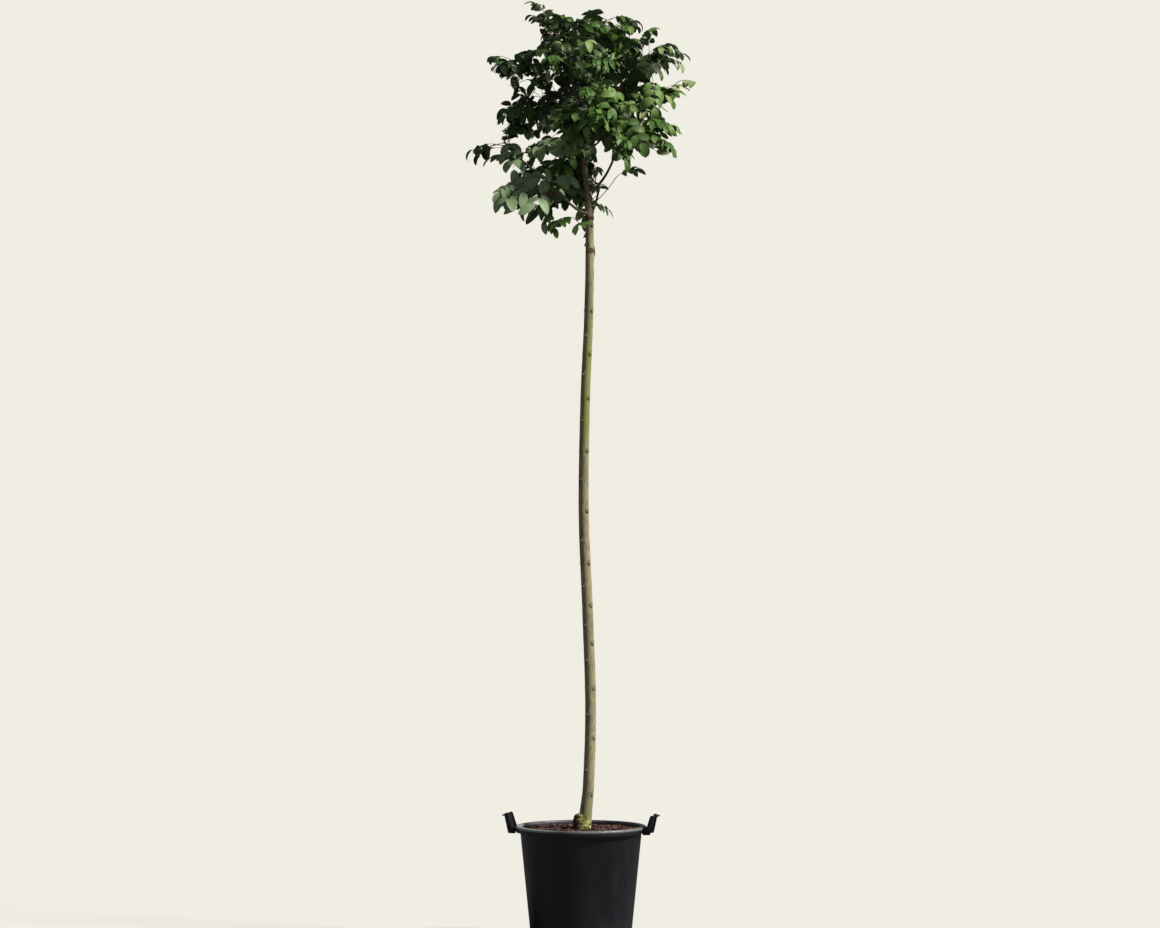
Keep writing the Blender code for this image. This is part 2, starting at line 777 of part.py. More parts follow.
def flat_outline(corners, thickness, name, collection):
    """A plate: a filled flat outline in the XZ plane, as thick as asked along Y."""
    curve = bpy.data.curves.new(name, "CURVE")
    curve.dimensions = "2D"
    curve.fill_mode = "BOTH"
    curve.extrude = thickness / 2
    spline = curve.splines.new("POLY")
    spline.points.add(len(corners) - 1)
    spline.use_cyclic_u = True
    for place, (x, z) in zip(spline.points, corners):
        place.co = (x, z, 0, 1)
    plate = bpy.data.objects.new(name, curve)
    plate.rotation_euler = (math.radians(90), 0, 0)
    collection.objects.link(plate)
    return meshed(plate, name)


def make_lug(name, azimuth, parts, cutters):
    """A lug: a bent plate from the rim to its lip, with a rib at each end, cut to the rim's round."""
    inside = RIM_RADIUS - LUG_ROOT
    foot = RIM_RADIUS + LUG_REACH
    top = foot + LUG_LEAN
    bent = [
        (inside, LUG_SHELF_TOP - LUG_PLATE),
        (foot, LUG_SHELF_TOP - LUG_PLATE),
        (top, LUG_TOP - LUG_PLATE),
        (top + LUG_LIP, LUG_TOP - LUG_PLATE - 0.001),
        (top + LUG_LIP, LUG_TOP - 0.001),
        (top - LUG_PLATE, LUG_TOP),
        (foot - LUG_PLATE, LUG_SHELF_TOP),
        (inside, LUG_SHELF_TOP),
    ]
    half_rib = LUG_RIB_DEPTH / 2
    middle = foot - LUG_PLATE / 2
    middle_top = top - LUG_PLATE / 2
    rib_shelf = LUG_SHELF_TOP + 0.001
    rib_top = LUG_TOP + 0.002
    rib = [
        (inside, LUG_FOOT),
        (middle + half_rib - LUG_ROUND, LUG_FOOT),
        (middle + half_rib, LUG_FOOT + LUG_ROUND),
        (middle_top + half_rib, rib_top - LUG_ROUND * 2),
        (middle_top + half_rib - LUG_ROUND, rib_top),
        (middle_top - half_rib + LUG_ROUND, rib_top),
        (middle_top - half_rib, rib_top - LUG_ROUND),
        (middle - half_rib, rib_shelf + LUG_ROUND),
        (middle - half_rib - LUG_ROUND, rib_shelf),
        (inside, rib_shelf),
    ]
    pieces = new_collection(f"{name}_pieces")
    rib_middle = (LUG_LENGTH - LUG_RIB_THICKNESS) / 2
    plate = flat_outline(bent, rib_middle * 2, name, parts)
    for side in (-1, 1):
        end = flat_outline(rib, LUG_RIB_THICKNESS, "rib", pieces)
        end.location.y = side * rib_middle
    lug = boolean(plate, "UNION", name, operands=pieces)
    remove_collection(pieces)
    placing = Matrix.Translation((0, 0, LUG_SHELF_TOP))
    cutter = cylinder_cutter(RIM_RADIUS + 2 * GAP, LUG_TOP, CUT_SIDES, placing, "rim_cutter", cutters)
    lug = boolean(lug, "DIFFERENCE", name, operand=cutter)
    bpy.data.objects.remove(cutter)
    lug.matrix_world = Matrix.Rotation(math.radians(azimuth), 4, "Z") @ lug.matrix_world
    lug.data.materials.append(finish("pot_plastic", name))
    return lug


def cut_level(thing, height):
    """Cuts off what lies under a height and closes the cut with one flat face."""
    bm = bmesh.new()
    bm.from_mesh(thing.data)
    everything = bm.verts[:] + bm.edges[:] + bm.faces[:]
    level = (0, 0, height)
    cut = bmesh.ops.bisect_plane(bm, geom=everything, plane_co=level, plane_no=UP, clear_inner=True)
    rim = [item for item in cut["geom_cut"] if isinstance(item, bmesh.types.BMEdge)]
    bmesh.ops.edgeloop_fill(bm, edges=rim)
    bmesh.ops.recalc_face_normals(bm, faces=bm.faces)
    bm.to_mesh(thing.data)
    bm.free()
    return thing


def knot_heights():
    heights = [LOWEST_KNOT]
    for spacing in KNOT_SPACINGS:
        heights.append(heights[-1] + spacing)
    return heights


def trunk_heights():
    """Heights of the trunk's rings: close together at the graft, even above it."""
    foot = [row[0] for row in TRUNK_RADII if row[0] < CLEAR_STEM_FOOT]
    count = TRUNK_RINGS - len(foot)
    step = (TRUNK_BENDS[-1][0] - CLEAR_STEM_FOOT) / (count - 1)
    return foot + [CLEAR_STEM_FOOT + step * index for index in range(count)]


def make_trunk(parts):
    """The trunk and leader, with a stud at each pruned shoot."""
    heights = trunk_heights()
    points = [trunk_centre(height) for height in heights]
    radii = [trunk_radius(height) for height in heights]
    trunk = cut_level(tube(points, radii, "trunk", parts, sides=TRUNK_SIDES), SOIL_TOP + GAP)
    studs = new_collection("trunk_studs")
    for index, height in enumerate(knot_heights()):
        for side in (0, 180):
            out = outward(KNOT_AZIMUTH + 90 * index + side)
            bm = bmesh.new()
            bmesh.ops.create_uvsphere(bm, u_segments=4, v_segments=2, radius=KNOT_RADIUS)
            turn = out.to_track_quat("Z", "Y").to_matrix().to_4x4()
            middle = trunk_centre(height) + out * (trunk_radius(height) + KNOT_STAND - KNOT_RADIUS)
            bmesh.ops.transform(bm, matrix=Matrix.Translation(middle) @ turn, verts=bm.verts)
            object_from(bm, "stud", studs)
    trunk = largest_shell(boolean(trunk, "UNION", "trunk", operands=studs))
    remove_collection(studs)
    trunk.data.materials.append(finish("bark", "trunk"))
    smooth(trunk)
    return trunk


def make_bough(row, parts):
    name, fork_height, azimuth, reach, rise, radius = row
    points = bough_path(fork_height, azimuth, reach, rise)
    shares = [index / (len(points) - 1) for index in range(len(points))]
    radii = [radius * (1 - (1 - BOUGH_TAPER) * share) for share in shares]
    bough = tube(points, radii, name, parts, sides=BOUGH_SIDES)
    bough.data.materials.append(finish("young_bark", name))
    smooth(bough)
    return bough


def main():
    for thing in list(bpy.data.objects):
        bpy.data.objects.remove(thing)
    parts = new_collection("potted_manna_ash")
    cutters = new_collection("cutters")
    make_pot(parts)
    make_soil(parts)
    for name, azimuth in LUG_AZIMUTHS.items():
        make_lug(name, azimuth, parts, cutters)
    trunk = make_trunk(parts)
    boughs = [make_bough(row, parts) for row in BOUGHS]
    section = three_sided_section(cutters)
    stems = {mass[0]: make_stem(mass, section, parts) for mass in MASSES}
    solid_trees = {"limbs": tree_of([trunk] + boughs)}
    solid_trees.update({name: tree_of([stem]) for name, stem in stems.items()})
    for mass in MASSES:
        name = mass[0]
        growth = grow_mass(mass, [tree for key, tree in solid_trees.items() if key != name])
        made = make_mass(mass, stems[name], growth, section)
        solid_trees[name] = tree_of([made])
        blades = sum(len(leaf[1]) for leaf in growth[1])
        print(f"{name}: {len(growth[1])} leaves, {blades} blades, {len(made.data.polygons)} faces")
    bpy.data.objects.remove(section)


if __name__ == "__main__":
    main()
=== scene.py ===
# %% [markdown]
# A young manna ash that a nursery has grown as a standard: one straight stem, clear of branches for two
# metres, with a small round crown of feather leaves, in a black pot with two lifting lugs. The tree grows
# here from a few rules, in the order in which a plant does it: stem, boughs, twigs, leaf stalks, leaflets.
# Each step starts with a few words on what it makes and why it is made that way.

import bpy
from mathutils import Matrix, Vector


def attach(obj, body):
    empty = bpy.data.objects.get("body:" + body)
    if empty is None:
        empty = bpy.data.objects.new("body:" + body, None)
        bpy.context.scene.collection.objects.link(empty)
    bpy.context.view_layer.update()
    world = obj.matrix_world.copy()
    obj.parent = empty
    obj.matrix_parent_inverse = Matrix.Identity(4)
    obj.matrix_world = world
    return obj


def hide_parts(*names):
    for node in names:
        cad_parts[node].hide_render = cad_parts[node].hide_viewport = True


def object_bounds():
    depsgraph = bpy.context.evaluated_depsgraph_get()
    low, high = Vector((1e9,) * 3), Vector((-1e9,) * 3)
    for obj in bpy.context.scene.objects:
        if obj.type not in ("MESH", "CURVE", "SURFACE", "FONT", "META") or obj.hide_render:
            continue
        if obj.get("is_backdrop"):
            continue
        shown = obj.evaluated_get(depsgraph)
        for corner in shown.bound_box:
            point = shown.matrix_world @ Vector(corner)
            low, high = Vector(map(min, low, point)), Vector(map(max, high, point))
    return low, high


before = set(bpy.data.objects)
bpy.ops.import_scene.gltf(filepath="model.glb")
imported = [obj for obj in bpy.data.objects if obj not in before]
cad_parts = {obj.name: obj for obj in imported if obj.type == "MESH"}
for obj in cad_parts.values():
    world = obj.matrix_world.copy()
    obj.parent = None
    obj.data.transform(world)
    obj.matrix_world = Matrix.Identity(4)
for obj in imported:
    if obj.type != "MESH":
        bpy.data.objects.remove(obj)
solid_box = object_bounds()
print("solids reach from", [round(value, 3) for value in solid_box[0]], "to", [round(value, 3) for value in solid_box[1]])

# %% [markdown]
# The tree was photographed from about thirteen metres away with a long lens, level with the middle of its
# stem, so the pot and the crown are both seen almost square on. A camera with the same distance and the
# same picture width per metre gives the same slight looks into the pot and up into the crown.

# %% Camera
import math
import random

import bmesh
import bpy
from mathutils import Matrix, Vector
from mathutils.bvhtree import BVHTree

UP = Vector((0, 0, 1))
IMAGE_WIDTH = 1160
PIXELS_PER_METRE = 300
CAMERA_DISTANCE = 13.2
EYE_HEIGHT = 1.59
CAMERA_SIDESTEP = -0.0033
SENSOR_MM = 36


def make_camera():
    data = bpy.data.cameras.new("camera")
    data.sensor_width = SENSOR_MM
    data.lens = SENSOR_MM * CAMERA_DISTANCE * PIXELS_PER_METRE / IMAGE_WIDTH
    data.clip_end = 200
    camera = bpy.data.objects.new("camera", data)
    camera.location = (CAMERA_SIDESTEP, -CAMERA_DISTANCE, EYE_HEIGHT)
    camera.rotation_euler = (math.radians(90), 0, 0)
    bpy.context.scene.collection.objects.link(camera)
    bpy.context.scene.camera = camera
    print("lens", round(data.lens, 1), "mm")


make_camera()

# %% [markdown]
# Every node tree below, for a material or for Geometry Nodes, is put together in the same way: a node is
# added, its settings are set, and its inputs are given in order, as links or as plain values. One small
# class does this for both kinds of tree, so that the trees themselves read almost like sums.

# %% A bench for node trees
class Bench:
    """Adds nodes to a tree one by one."""

    def __init__(self, tree):
        self.tree = tree

    def plug(self, value, socket):
        if isinstance(value, bpy.types.NodeSocket):
            self.tree.links.new(value, socket)
        elif value is not None:
            socket.default_value = value

    def node(self, kind, *values, output=0, **settings):
        """A new node: its settings, its inputs in order, and one of its outputs back."""
        made = self.tree.nodes.new(kind)
        for key, value in settings.items():
            setattr(made, key, value)
        for socket, value in zip([socket for socket in made.inputs if socket.enabled], values):
            self.plug(value, socket)
        if isinstance(output, str):
            return made.outputs[output]
        outputs = [socket for socket in made.outputs if socket.enabled]
        return outputs[output] if outputs else None

    def sum(self, operation, *values):
        return self.node("ShaderNodeMath", *values, operation=operation)

    def vector(self, operation, *values):
        return self.node("ShaderNodeVectorMath", *values, operation=operation)

    def noise(self, place, scale, detail=3.0, roughness=0.5):
        return self.node("ShaderNodeTexNoise", place, scale, detail, roughness)

    def between(self, value, low, high, start=0.0, end=1.0):
        """A smooth passage from start to end while the value goes from low to high."""
        return self.node("ShaderNodeMapRange", value, low, high, start, end, interpolation_type="SMOOTHSTEP")

    def mixed(self, share, first, second):
        """A colour between two colours."""
        colours = [(*c, 1) if isinstance(c, tuple) else c for c in (first, second)]
        return self.node("ShaderNodeMix", share, *colours, data_type="RGBA")


# %% [markdown]
# The photograph was taken in bright daylight from the right: the right half of the stem is pale and its
# left half almost black, and the leaves on the far side of the crown are dark. One sun at right angles to
# the view, a little soft at its edge, and a dim cool sky with a paler haze at the horizon give that. The
# background is an even cream. The world shows cream to the eye but lights the tree as the dim sky, and the
# floor is tinted so that sunlight brings it to the same cream, with a glow of its own that keeps shadows
# on it pale, while what it throws back up at the tree is held down to a dark yard's.

# %% Light, sky and floor
CREAM = (0.871, 0.847, 0.761)
SUN_COLOUR = (1.00, 0.965, 0.90)
SUN_FROM_RIGHT = 70
SUN_ABOVE_HORIZON = 40
SUN_SOFTNESS = 9
SUN_ON_FLOOR = 0.80
SKY = (0.080, 0.086, 0.098)
HAZE = (0.19, 0.20, 0.215)
HAZE_TOP = 0.30
YARD = (0.14, 0.14, 0.14)
FLOOR_RADIUS = 70
FLOOR_GLOW = 0.65


def link_object(name, data):
    thing = bpy.data.objects.new(name, data)
    bpy.context.scene.collection.objects.link(thing)
    return thing


def make_sun():
    data = bpy.data.lights.new("sun", "SUN")
    data.color = SUN_COLOUR
    data.angle = math.radians(SUN_SOFTNESS)
    data.energy = SUN_ON_FLOOR * math.pi / math.sin(math.radians(SUN_ABOVE_HORIZON))
    sun = link_object("sun", data)
    sun.rotation_euler = (math.radians(90 - SUN_ABOVE_HORIZON), 0, math.radians(SUN_FROM_RIGHT))
    print("sun", round(data.energy, 2), "watts per square metre")


def make_sky():
    world = bpy.data.worlds.new("sky")
    bpy.context.scene.world = world
    world.use_nodes = True
    world.node_tree.nodes.clear()
    bench = Bench(world.node_tree)
    seen = bench.node("ShaderNodeLightPath", output="Is Camera Ray")
    level = bench.node("ShaderNodeSeparateXYZ", bench.node("ShaderNodeTexCoord", output="Generated"), output=2)
    haze = bench.between(bench.sum("ABSOLUTE", level), 0.0, HAZE_TOP, 1.0, 0.0)
    lighting = bench.node("ShaderNodeBackground", bench.mixed(haze, SKY, HAZE), 1.0)
    backdrop = bench.node("ShaderNodeBackground", (*CREAM, 1), 1.0)
    bench.node("ShaderNodeOutputWorld", bench.node("ShaderNodeMixShader", seen, lighting, backdrop))


def make_floor():
    bm = bmesh.new()
    bmesh.ops.create_circle(bm, cap_ends=True, segments=96, radius=FLOOR_RADIUS)
    mesh = bpy.data.meshes.new("floor")
    bm.to_mesh(mesh)
    bm.free()
    floor = link_object("floor", mesh)
    material = bpy.data.materials.new("pale_floor")
    material.use_nodes = True
    bench = Bench(material.node_tree)
    light = [SUN_ON_FLOOR * sun + sky for sun, sky in zip(SUN_COLOUR, SKY)]
    tone = tuple((1 - FLOOR_GLOW) * cream / lit for cream, lit in zip(CREAM, light))
    seen = bench.node("ShaderNodeLightPath", output="Is Camera Ray")
    surface = material.node_tree.nodes["Principled BSDF"]
    bench.plug(bench.mixed(seen, YARD, tone), surface.inputs["Base Color"])
    bench.plug(bench.sum("MULTIPLY", seen, FLOOR_GLOW), surface.inputs["Emission Strength"])
    surface.inputs["Emission Color"].default_value = (*CREAM, 1)
    surface.inputs["Roughness"].default_value = 1.0
    surface.inputs["Specular IOR Level"].default_value = 0.0
    mesh.materials.append(material)
    floor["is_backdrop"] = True


make_sun()
make_sky()
make_floor()
bpy.context.scene.view_settings.view_transform = "Standard"

# %% [markdown]
# Each finish is a small set of nodes round one Principled shader. Colours that vary come from noise on the
# piece's own coordinates, so they stay where they are when the tree is turned. Values that are the same
# all over sit on the shader itself.

# %% A place for finishes
def finish(name, roughness, sheen=0.5):
    """A new material: itself, a bench on its nodes, and its shader."""
    material = bpy.data.materials.new(name)
    material.use_nodes = True
    surface = material.node_tree.nodes["Principled BSDF"]
    surface.inputs["Roughness"].default_value = roughness
    surface.inputs["Specular IOR Level"].default_value = sheen
    return material, Bench(material.node_tree), surface


def relief(bench, surface, height, depth, strength=1.0):
    """Plugs a height field into a shader as fine relief, with its depth in metres."""
    bump = bench.node("ShaderNodeBump", strength, depth)
    made = bump.node
    bench.plug(height, made.inputs["Height"])
    bench.plug(bump, surface.inputs["Normal"])


# %% [markdown]
# The stem's bark is smooth and thin, as on any young ash: straw to olive grey, with fine lengthwise streaks,
# pale lenticels, a bloom of green algae in the middle of the stem and on the graft, dark rings where old
# bud scales sat, and brown cork at the pruning scars. The mesh carries its distance to the nearest scar, so
# the cork sits exactly on the knots.

# %% Bark
ALGAE_HEIGHTS = (1.58, 1.74, 1.98, 2.16)
BUD_RINGS = (2.300, 2.409)
GRAFT_TOP = 0.430
# The graft's colour split runs along this slant, close to the sun's direction: painted shade on one side, painted
# sunlight on the other.
GRAFT_SEAM_AND_SUN_SLANT = (0.97, -0.10, 0.22)
GRAFT_SEAM = (0.073, 0.089)


def bark_finish():
    material, bench, surface = finish("ash_bark", 0.78, 0.25)
    place = bench.node("ShaderNodeTexCoord", output="Object")
    stretched = bench.node("ShaderNodeMapping", place, None, None, (1.0, 1.0, 0.16))
    height = bench.node("ShaderNodeSeparateXYZ", place, output=2)
    streaks = bench.noise(stretched, 260.0, 5.0, 0.6)
    patches = bench.noise(bench.node("ShaderNodeMapping", place, None, None, (1.0, 1.0, 0.45)), 26.0, 4.0, 0.55)
    flecks = bench.noise(place, 900.0, 2.0)
    straw = bench.mixed(bench.between(streaks, 0.35, 0.68), (0.330, 0.280, 0.160), (0.540, 0.470, 0.290))
    grey = bench.mixed(bench.between(streaks, 0.35, 0.70), (0.220, 0.195, 0.125), (0.420, 0.380, 0.255))
    colour = bench.mixed(bench.between(patches, 0.42, 0.66), straw, grey)
    rising = bench.between(height, *ALGAE_HEIGHTS[:2])
    falling = bench.between(height, *ALGAE_HEIGHTS[2:], 1.0, 0.0)
    bloom = bench.sum("MULTIPLY", rising, falling)
    foot = bench.between(height, GRAFT_TOP, GRAFT_TOP + 0.06, 0.45, 0.0)
    algae = bench.sum("MULTIPLY", bench.sum("MAXIMUM", bloom, foot), bench.between(patches, 0.36, 0.60, 0.35, 0.9))
    colour = bench.mixed(algae, colour, (0.300, 0.335, 0.080))
    colour = bench.mixed(bench.between(flecks, 0.66, 0.74, 0.0, 0.55), colour, (0.60, 0.56, 0.40))
    knot = bench.node("ShaderNodeAttribute", attribute_name="knot_distance", output="Fac")
    ring = bench.sum("MULTIPLY", bench.between(knot, 0.0045, 0.0065), bench.between(knot, 0.0080, 0.0115, 1.0, 0.0))
    colour = bench.mixed(bench.sum("MULTIPLY", ring, 0.55), colour, (0.075, 0.055, 0.035))
    for ring_height in BUD_RINGS:
        off = bench.sum("ABSOLUTE", bench.sum("SUBTRACT", height, ring_height))
        off = bench.sum("ADD", off, bench.sum("MULTIPLY", bench.sum("SUBTRACT", patches, 0.5), 0.03))
        colour = bench.mixed(bench.between(off, 0.004, 0.009, 0.85, 0.0), colour, (0.095, 0.036, 0.024))
    bench.plug(colour, surface.inputs["Base Color"])
    bench.plug(bench.between(streaks, 0.3, 0.7, 0.70, 0.90), surface.inputs["Roughness"])
    relief(bench, surface, bench.sum("ADD", streaks, bench.sum("MULTIPLY", flecks, 0.5)), 0.0006)
    return material


def young_wood_finish(name, dark, pale):
    """Bark of the boughs and twigs: still smooth, with pale lenticels."""
    material, bench, surface = finish(name, 0.62, 0.35)
    place = bench.node("ShaderNodeTexCoord", output="Object")
    streaks = bench.noise(place, 180.0, 4.0, 0.6)
    spots = bench.noise(place, 700.0, 1.0)
    colour = bench.mixed(bench.between(streaks, 0.35, 0.68), dark, pale)
    colour = bench.mixed(bench.between(spots, 0.64, 0.72, 0.0, 0.6), colour, (0.42, 0.36, 0.26))
    bench.plug(colour, surface.inputs["Base Color"])
    bench.plug(bench.between(streaks, 0.3, 0.7, 0.55, 0.75), surface.inputs["Roughness"])
    relief(bench, surface, spots, 0.0004)
    return material


def graft_finish():
    """Bark of the graft: brown and cracked on its left, pale yellow-green callus on its right, the split partly
    painted shade and sunlight.
    """
    material, bench, surface = finish("graft_bark", 0.85, 0.2)
    place = bench.node("ShaderNodeTexCoord", output="Object")
    blotches = bench.noise(place, 60.0, 4.0, 0.6)
    folds = bench.noise(bench.node("ShaderNodeMapping", place, None, None, (1.0, 1.0, 1.8)), 62.0, 3.0, 0.55)
    # Painted shade and sunlight: the dark brown lies on the side away from the sun, the pale callus and its palest
    # streaks on the sunlit side.
    lean = bench.node("ShaderNodeVectorMath", place, GRAFT_SEAM_AND_SUN_SLANT, operation="DOT_PRODUCT", output="Value")
    side = bench.sum("ADD", lean, bench.sum("MULTIPLY", bench.sum("SUBTRACT", blotches, 0.5), 0.030))
    brown_and_painted_shade = bench.mixed(bench.between(folds, 0.42, 0.60), (0.045, 0.026, 0.022), (0.150, 0.120, 0.050))
    callus = bench.mixed(bench.between(folds, 0.38, 0.50), (0.090, 0.070, 0.018), (0.290, 0.300, 0.075))
    callus = bench.mixed(bench.between(folds, 0.50, 0.62), callus, (0.720, 0.680, 0.400))
    colour = bench.mixed(bench.between(side, *GRAFT_SEAM), brown_and_painted_shade, callus)
    bench.plug(colour, surface.inputs["Base Color"])
    relief(bench, surface, bench.sum("ADD", blotches, folds), 0.0016)
    return material


BARK = bark_finish()
GRAFT_BARK = graft_finish()
BOUGH_BARK = young_wood_finish("bough_bark", (0.150, 0.112, 0.070), (0.330, 0.262, 0.165))
TWIG_BARK = young_wood_finish("twig_bark", (0.130, 0.080, 0.048), (0.300, 0.200, 0.125))
print("bark finishes:", [material.name for material in (BARK, GRAFT_BARK, BOUGH_BARK, TWIG_BARK)])

# %% [markdown]
# The leaves are dark and a little glossy above and paler beneath, older ones blue-green and the youngest
# at the tips a fresh yellow-green. In the crown the tint goes by spray, so every leaflet of a spray takes
# one plain base colour, and only its gloss and its fine relief vary.
# The tints also paint light: darker ones go mostly to the crown's shaded left and top, paler ones to its sunlit
# right.

# %% Leaf finishes
LEAF_TINTS = {
    "leaf_deep": (0.040, 0.060, 0.022),
    "leaf_mid": (0.080, 0.172, 0.032),
    "leaf_bright": (0.190, 0.320, 0.082),
    "leaf_fresh": (0.350, 0.460, 0.185),
    # Painted light: sage is a pale leaf tint raised further so the lower-left leaves, shaded here, look lit.
    "leaf_sage_and_painted_light": (0.340, 0.480, 0.245),
}
LEAF_UNDERSIDE = (0.160, 0.240, 0.110)
TINT_NAMES = list(LEAF_TINTS)


def leaf_finish(name, colour, roughness):
    material, bench, surface = finish(name, roughness, 0.28)
    surface.inputs["Base Color"].default_value = (*colour, 1)
    place = bench.node("ShaderNodeTexCoord", output="Object")
    cells = bench.noise(place, 420.0, 2.0)
    bench.plug(bench.between(cells, 0.3, 0.7, roughness - 0.07, roughness + 0.09), surface.inputs["Roughness"])
    relief(bench, surface, cells, 0.0005)
    return material


LEAF_FINISHES = [leaf_finish(name, colour, 0.46) for name, colour in LEAF_TINTS.items()]
UNDERSIDE = leaf_finish("leaf_underside", LEAF_UNDERSIDE, 0.62)
print("leaf finishes:", TINT_NAMES)

# %% [markdown]
# The pot is moulded polythene, nearly black with a cold sheen; its rim top is scuffed and carries a painted
# highlight, pale grey at the left and right front where light glints on it.
# The compost is reddish composted bark. Both take their colour from noise in the piece's own space.

# %% Pot and compost finishes
RIM_TOP = (0.3750, 0.3805)
# Directions in which the painted rim highlight lies: left front for the sky's glint, right front for the sun's.
RIM_GLINT_LEFT = (-0.94, -0.34, 0.0)
RIM_GLINT_RIGHT = (0.64, -0.77, 0.0)


def pot_finish():
    material, bench, surface = finish("black_polythene", 0.44, 0.6)
    place = bench.node("ShaderNodeTexCoord", output="Object")
    grain = bench.noise(place, 1400.0, 2.0)
    clouds = bench.noise(bench.node("ShaderNodeMapping", place, None, None, (1.0, 1.0, 0.3)), 18.0, 3.0)
    colour = bench.mixed(bench.between(clouds, 0.35, 0.70), (0.0066, 0.0078, 0.0112), (0.0112, 0.0134, 0.0190))
    height = bench.node("ShaderNodeSeparateXYZ", place, output=2)
    dust = bench.sum("MULTIPLY", bench.between(height, 0.0, 0.10, 0.5, 0.0), bench.between(clouds, 0.45, 0.75))
    colour = bench.mixed(dust, colour, (0.040, 0.036, 0.032))
    # Painted highlight: the rim top is laid pale grey at the left and right front, where sky and sun glint, broken
    # up by scuff noise.
    rim = bench.between(height, *RIM_TOP)
    left, right = (bench.node("ShaderNodeVectorMath", place, side, operation="DOT_PRODUCT", output="Value")
                   for side in (RIM_GLINT_LEFT, RIM_GLINT_RIGHT))
    wear_and_glint_sides = bench.sum("MAXIMUM", bench.between(left, 0.11, 0.20), bench.between(right, 0.10, 0.21, 0.25, 0.50))
    scuff_and_glint_noise = bench.noise(bench.node("ShaderNodeMapping", place, None, None, (1.0, 1.0, 4.0)), 60.0, 4.0, 0.6)
    share = bench.sum("MULTIPLY", bench.sum("MULTIPLY", rim, wear_and_glint_sides), bench.between(scuff_and_glint_noise, 0.25, 0.60, 0.45, 1.0))
    colour = bench.mixed(share, colour, (0.520, 0.540, 0.570))
    bench.plug(colour, surface.inputs["Base Color"])
    dull = bench.between(clouds, 0.3, 0.7, 0.34, 0.48)
    bench.plug(bench.sum("SUBTRACT", dull, bench.sum("MULTIPLY", rim, 0.12)), surface.inputs["Roughness"])
    relief(bench, surface, grain, 0.0003)
    return material


def lug_finish():
    """The lugs are of the pot's own plastic, a little blacker than its wall."""
    material, bench, surface = finish("lug_polythene", 0.50, 0.35)
    place = bench.node("ShaderNodeTexCoord", output="Object")
    clouds = bench.noise(place, 60.0, 3.0)
    bench.plug(bench.mixed(clouds, (0.0035, 0.0040, 0.0055), (0.0080, 0.0085, 0.0105)), surface.inputs["Base Color"])
    relief(bench, surface, bench.noise(place, 1400.0, 2.0), 0.0003)
    return material


def compost_finish(name, dark, pale, scale):
    material, bench, surface = finish(name, 0.93, 0.2)
    place = bench.node("ShaderNodeTexCoord", output="Object")
    crumbs = bench.noise(place, scale, 5.0, 0.65)
    bench.plug(bench.mixed(bench.between(crumbs, 0.35, 0.68), dark, pale), surface.inputs["Base Color"])
    bench.plug(bench.between(crumbs, 0.3, 0.7, 0.85, 0.98), surface.inputs["Roughness"])
    relief(bench, surface, crumbs, 0.0015)
    return material


POLYTHENE = pot_finish()
LUG_POLYTHENE = lug_finish()
COMPOST = compost_finish("bark_compost", (0.006, 0.003, 0.003), (0.050, 0.018, 0.015), 240.0)
CHIP = compost_finish("bark_chip", (0.012, 0.005, 0.005), (0.250, 0.105, 0.075), 60.0)
FIBRE = compost_finish("bark_fibre", (0.220, 0.110, 0.085), (0.520, 0.400, 0.360), 90.0)
print("pot and compost finishes are set")

# %% [markdown]
# The limbs follow the same sizes as the solids that they stand for. A table gives the stem's centreline and
# its thickness at a few heights, and a smooth curve through the rows gives every height between: it leans
# out of the graft, wanders as a cane-grown stem does, and runs on as the leader through the crown.

# %% Where the limbs run
GAP = 0.0003
TRUNK_BENDS = (
    (0.345, 0.009, 0.000),
    (0.425, 0.016, 0.000),
    (0.520, 0.025, 0.001),
    (0.780, 0.032, 0.004),
    (1.100, 0.022, 0.006),
    (1.430, 0.009, 0.004),
    (1.800, 0.014, -0.003),
    (2.100, 0.026, -0.005),
    (2.380, 0.028, -0.002),
    (2.620, 0.010, 0.002),
    (2.800, -0.001, 0.000),
    (2.960, -0.011, 0.002),
)
TRUNK_RADII = (
    (0.345, 0.0285),
    (0.385, 0.0300),
    (0.412, 0.0290),
    (0.440, 0.0210),
    (0.500, 0.0192),
    (1.200, 0.0176),
    (2.330, 0.0140),
    (2.440, 0.0130),
    (2.620, 0.0090),
    (2.800, 0.0065),
    (2.960, 0.0035),
)
# The bark that shows: the stem without the graft, and a leader that thins quickly in the crown
STEM_RADII = (
    (0.345, 0.0215),
    (0.412, 0.0215),
    (0.440, 0.0205),
    (0.500, 0.0188),
    (1.200, 0.0176),
    (2.330, 0.0140),
    (2.440, 0.0120),
    (2.550, 0.0086),
    (2.650, 0.0068),
    (2.770, 0.0055),
    (2.870, 0.0045),
    (2.960, 0.0035),
)
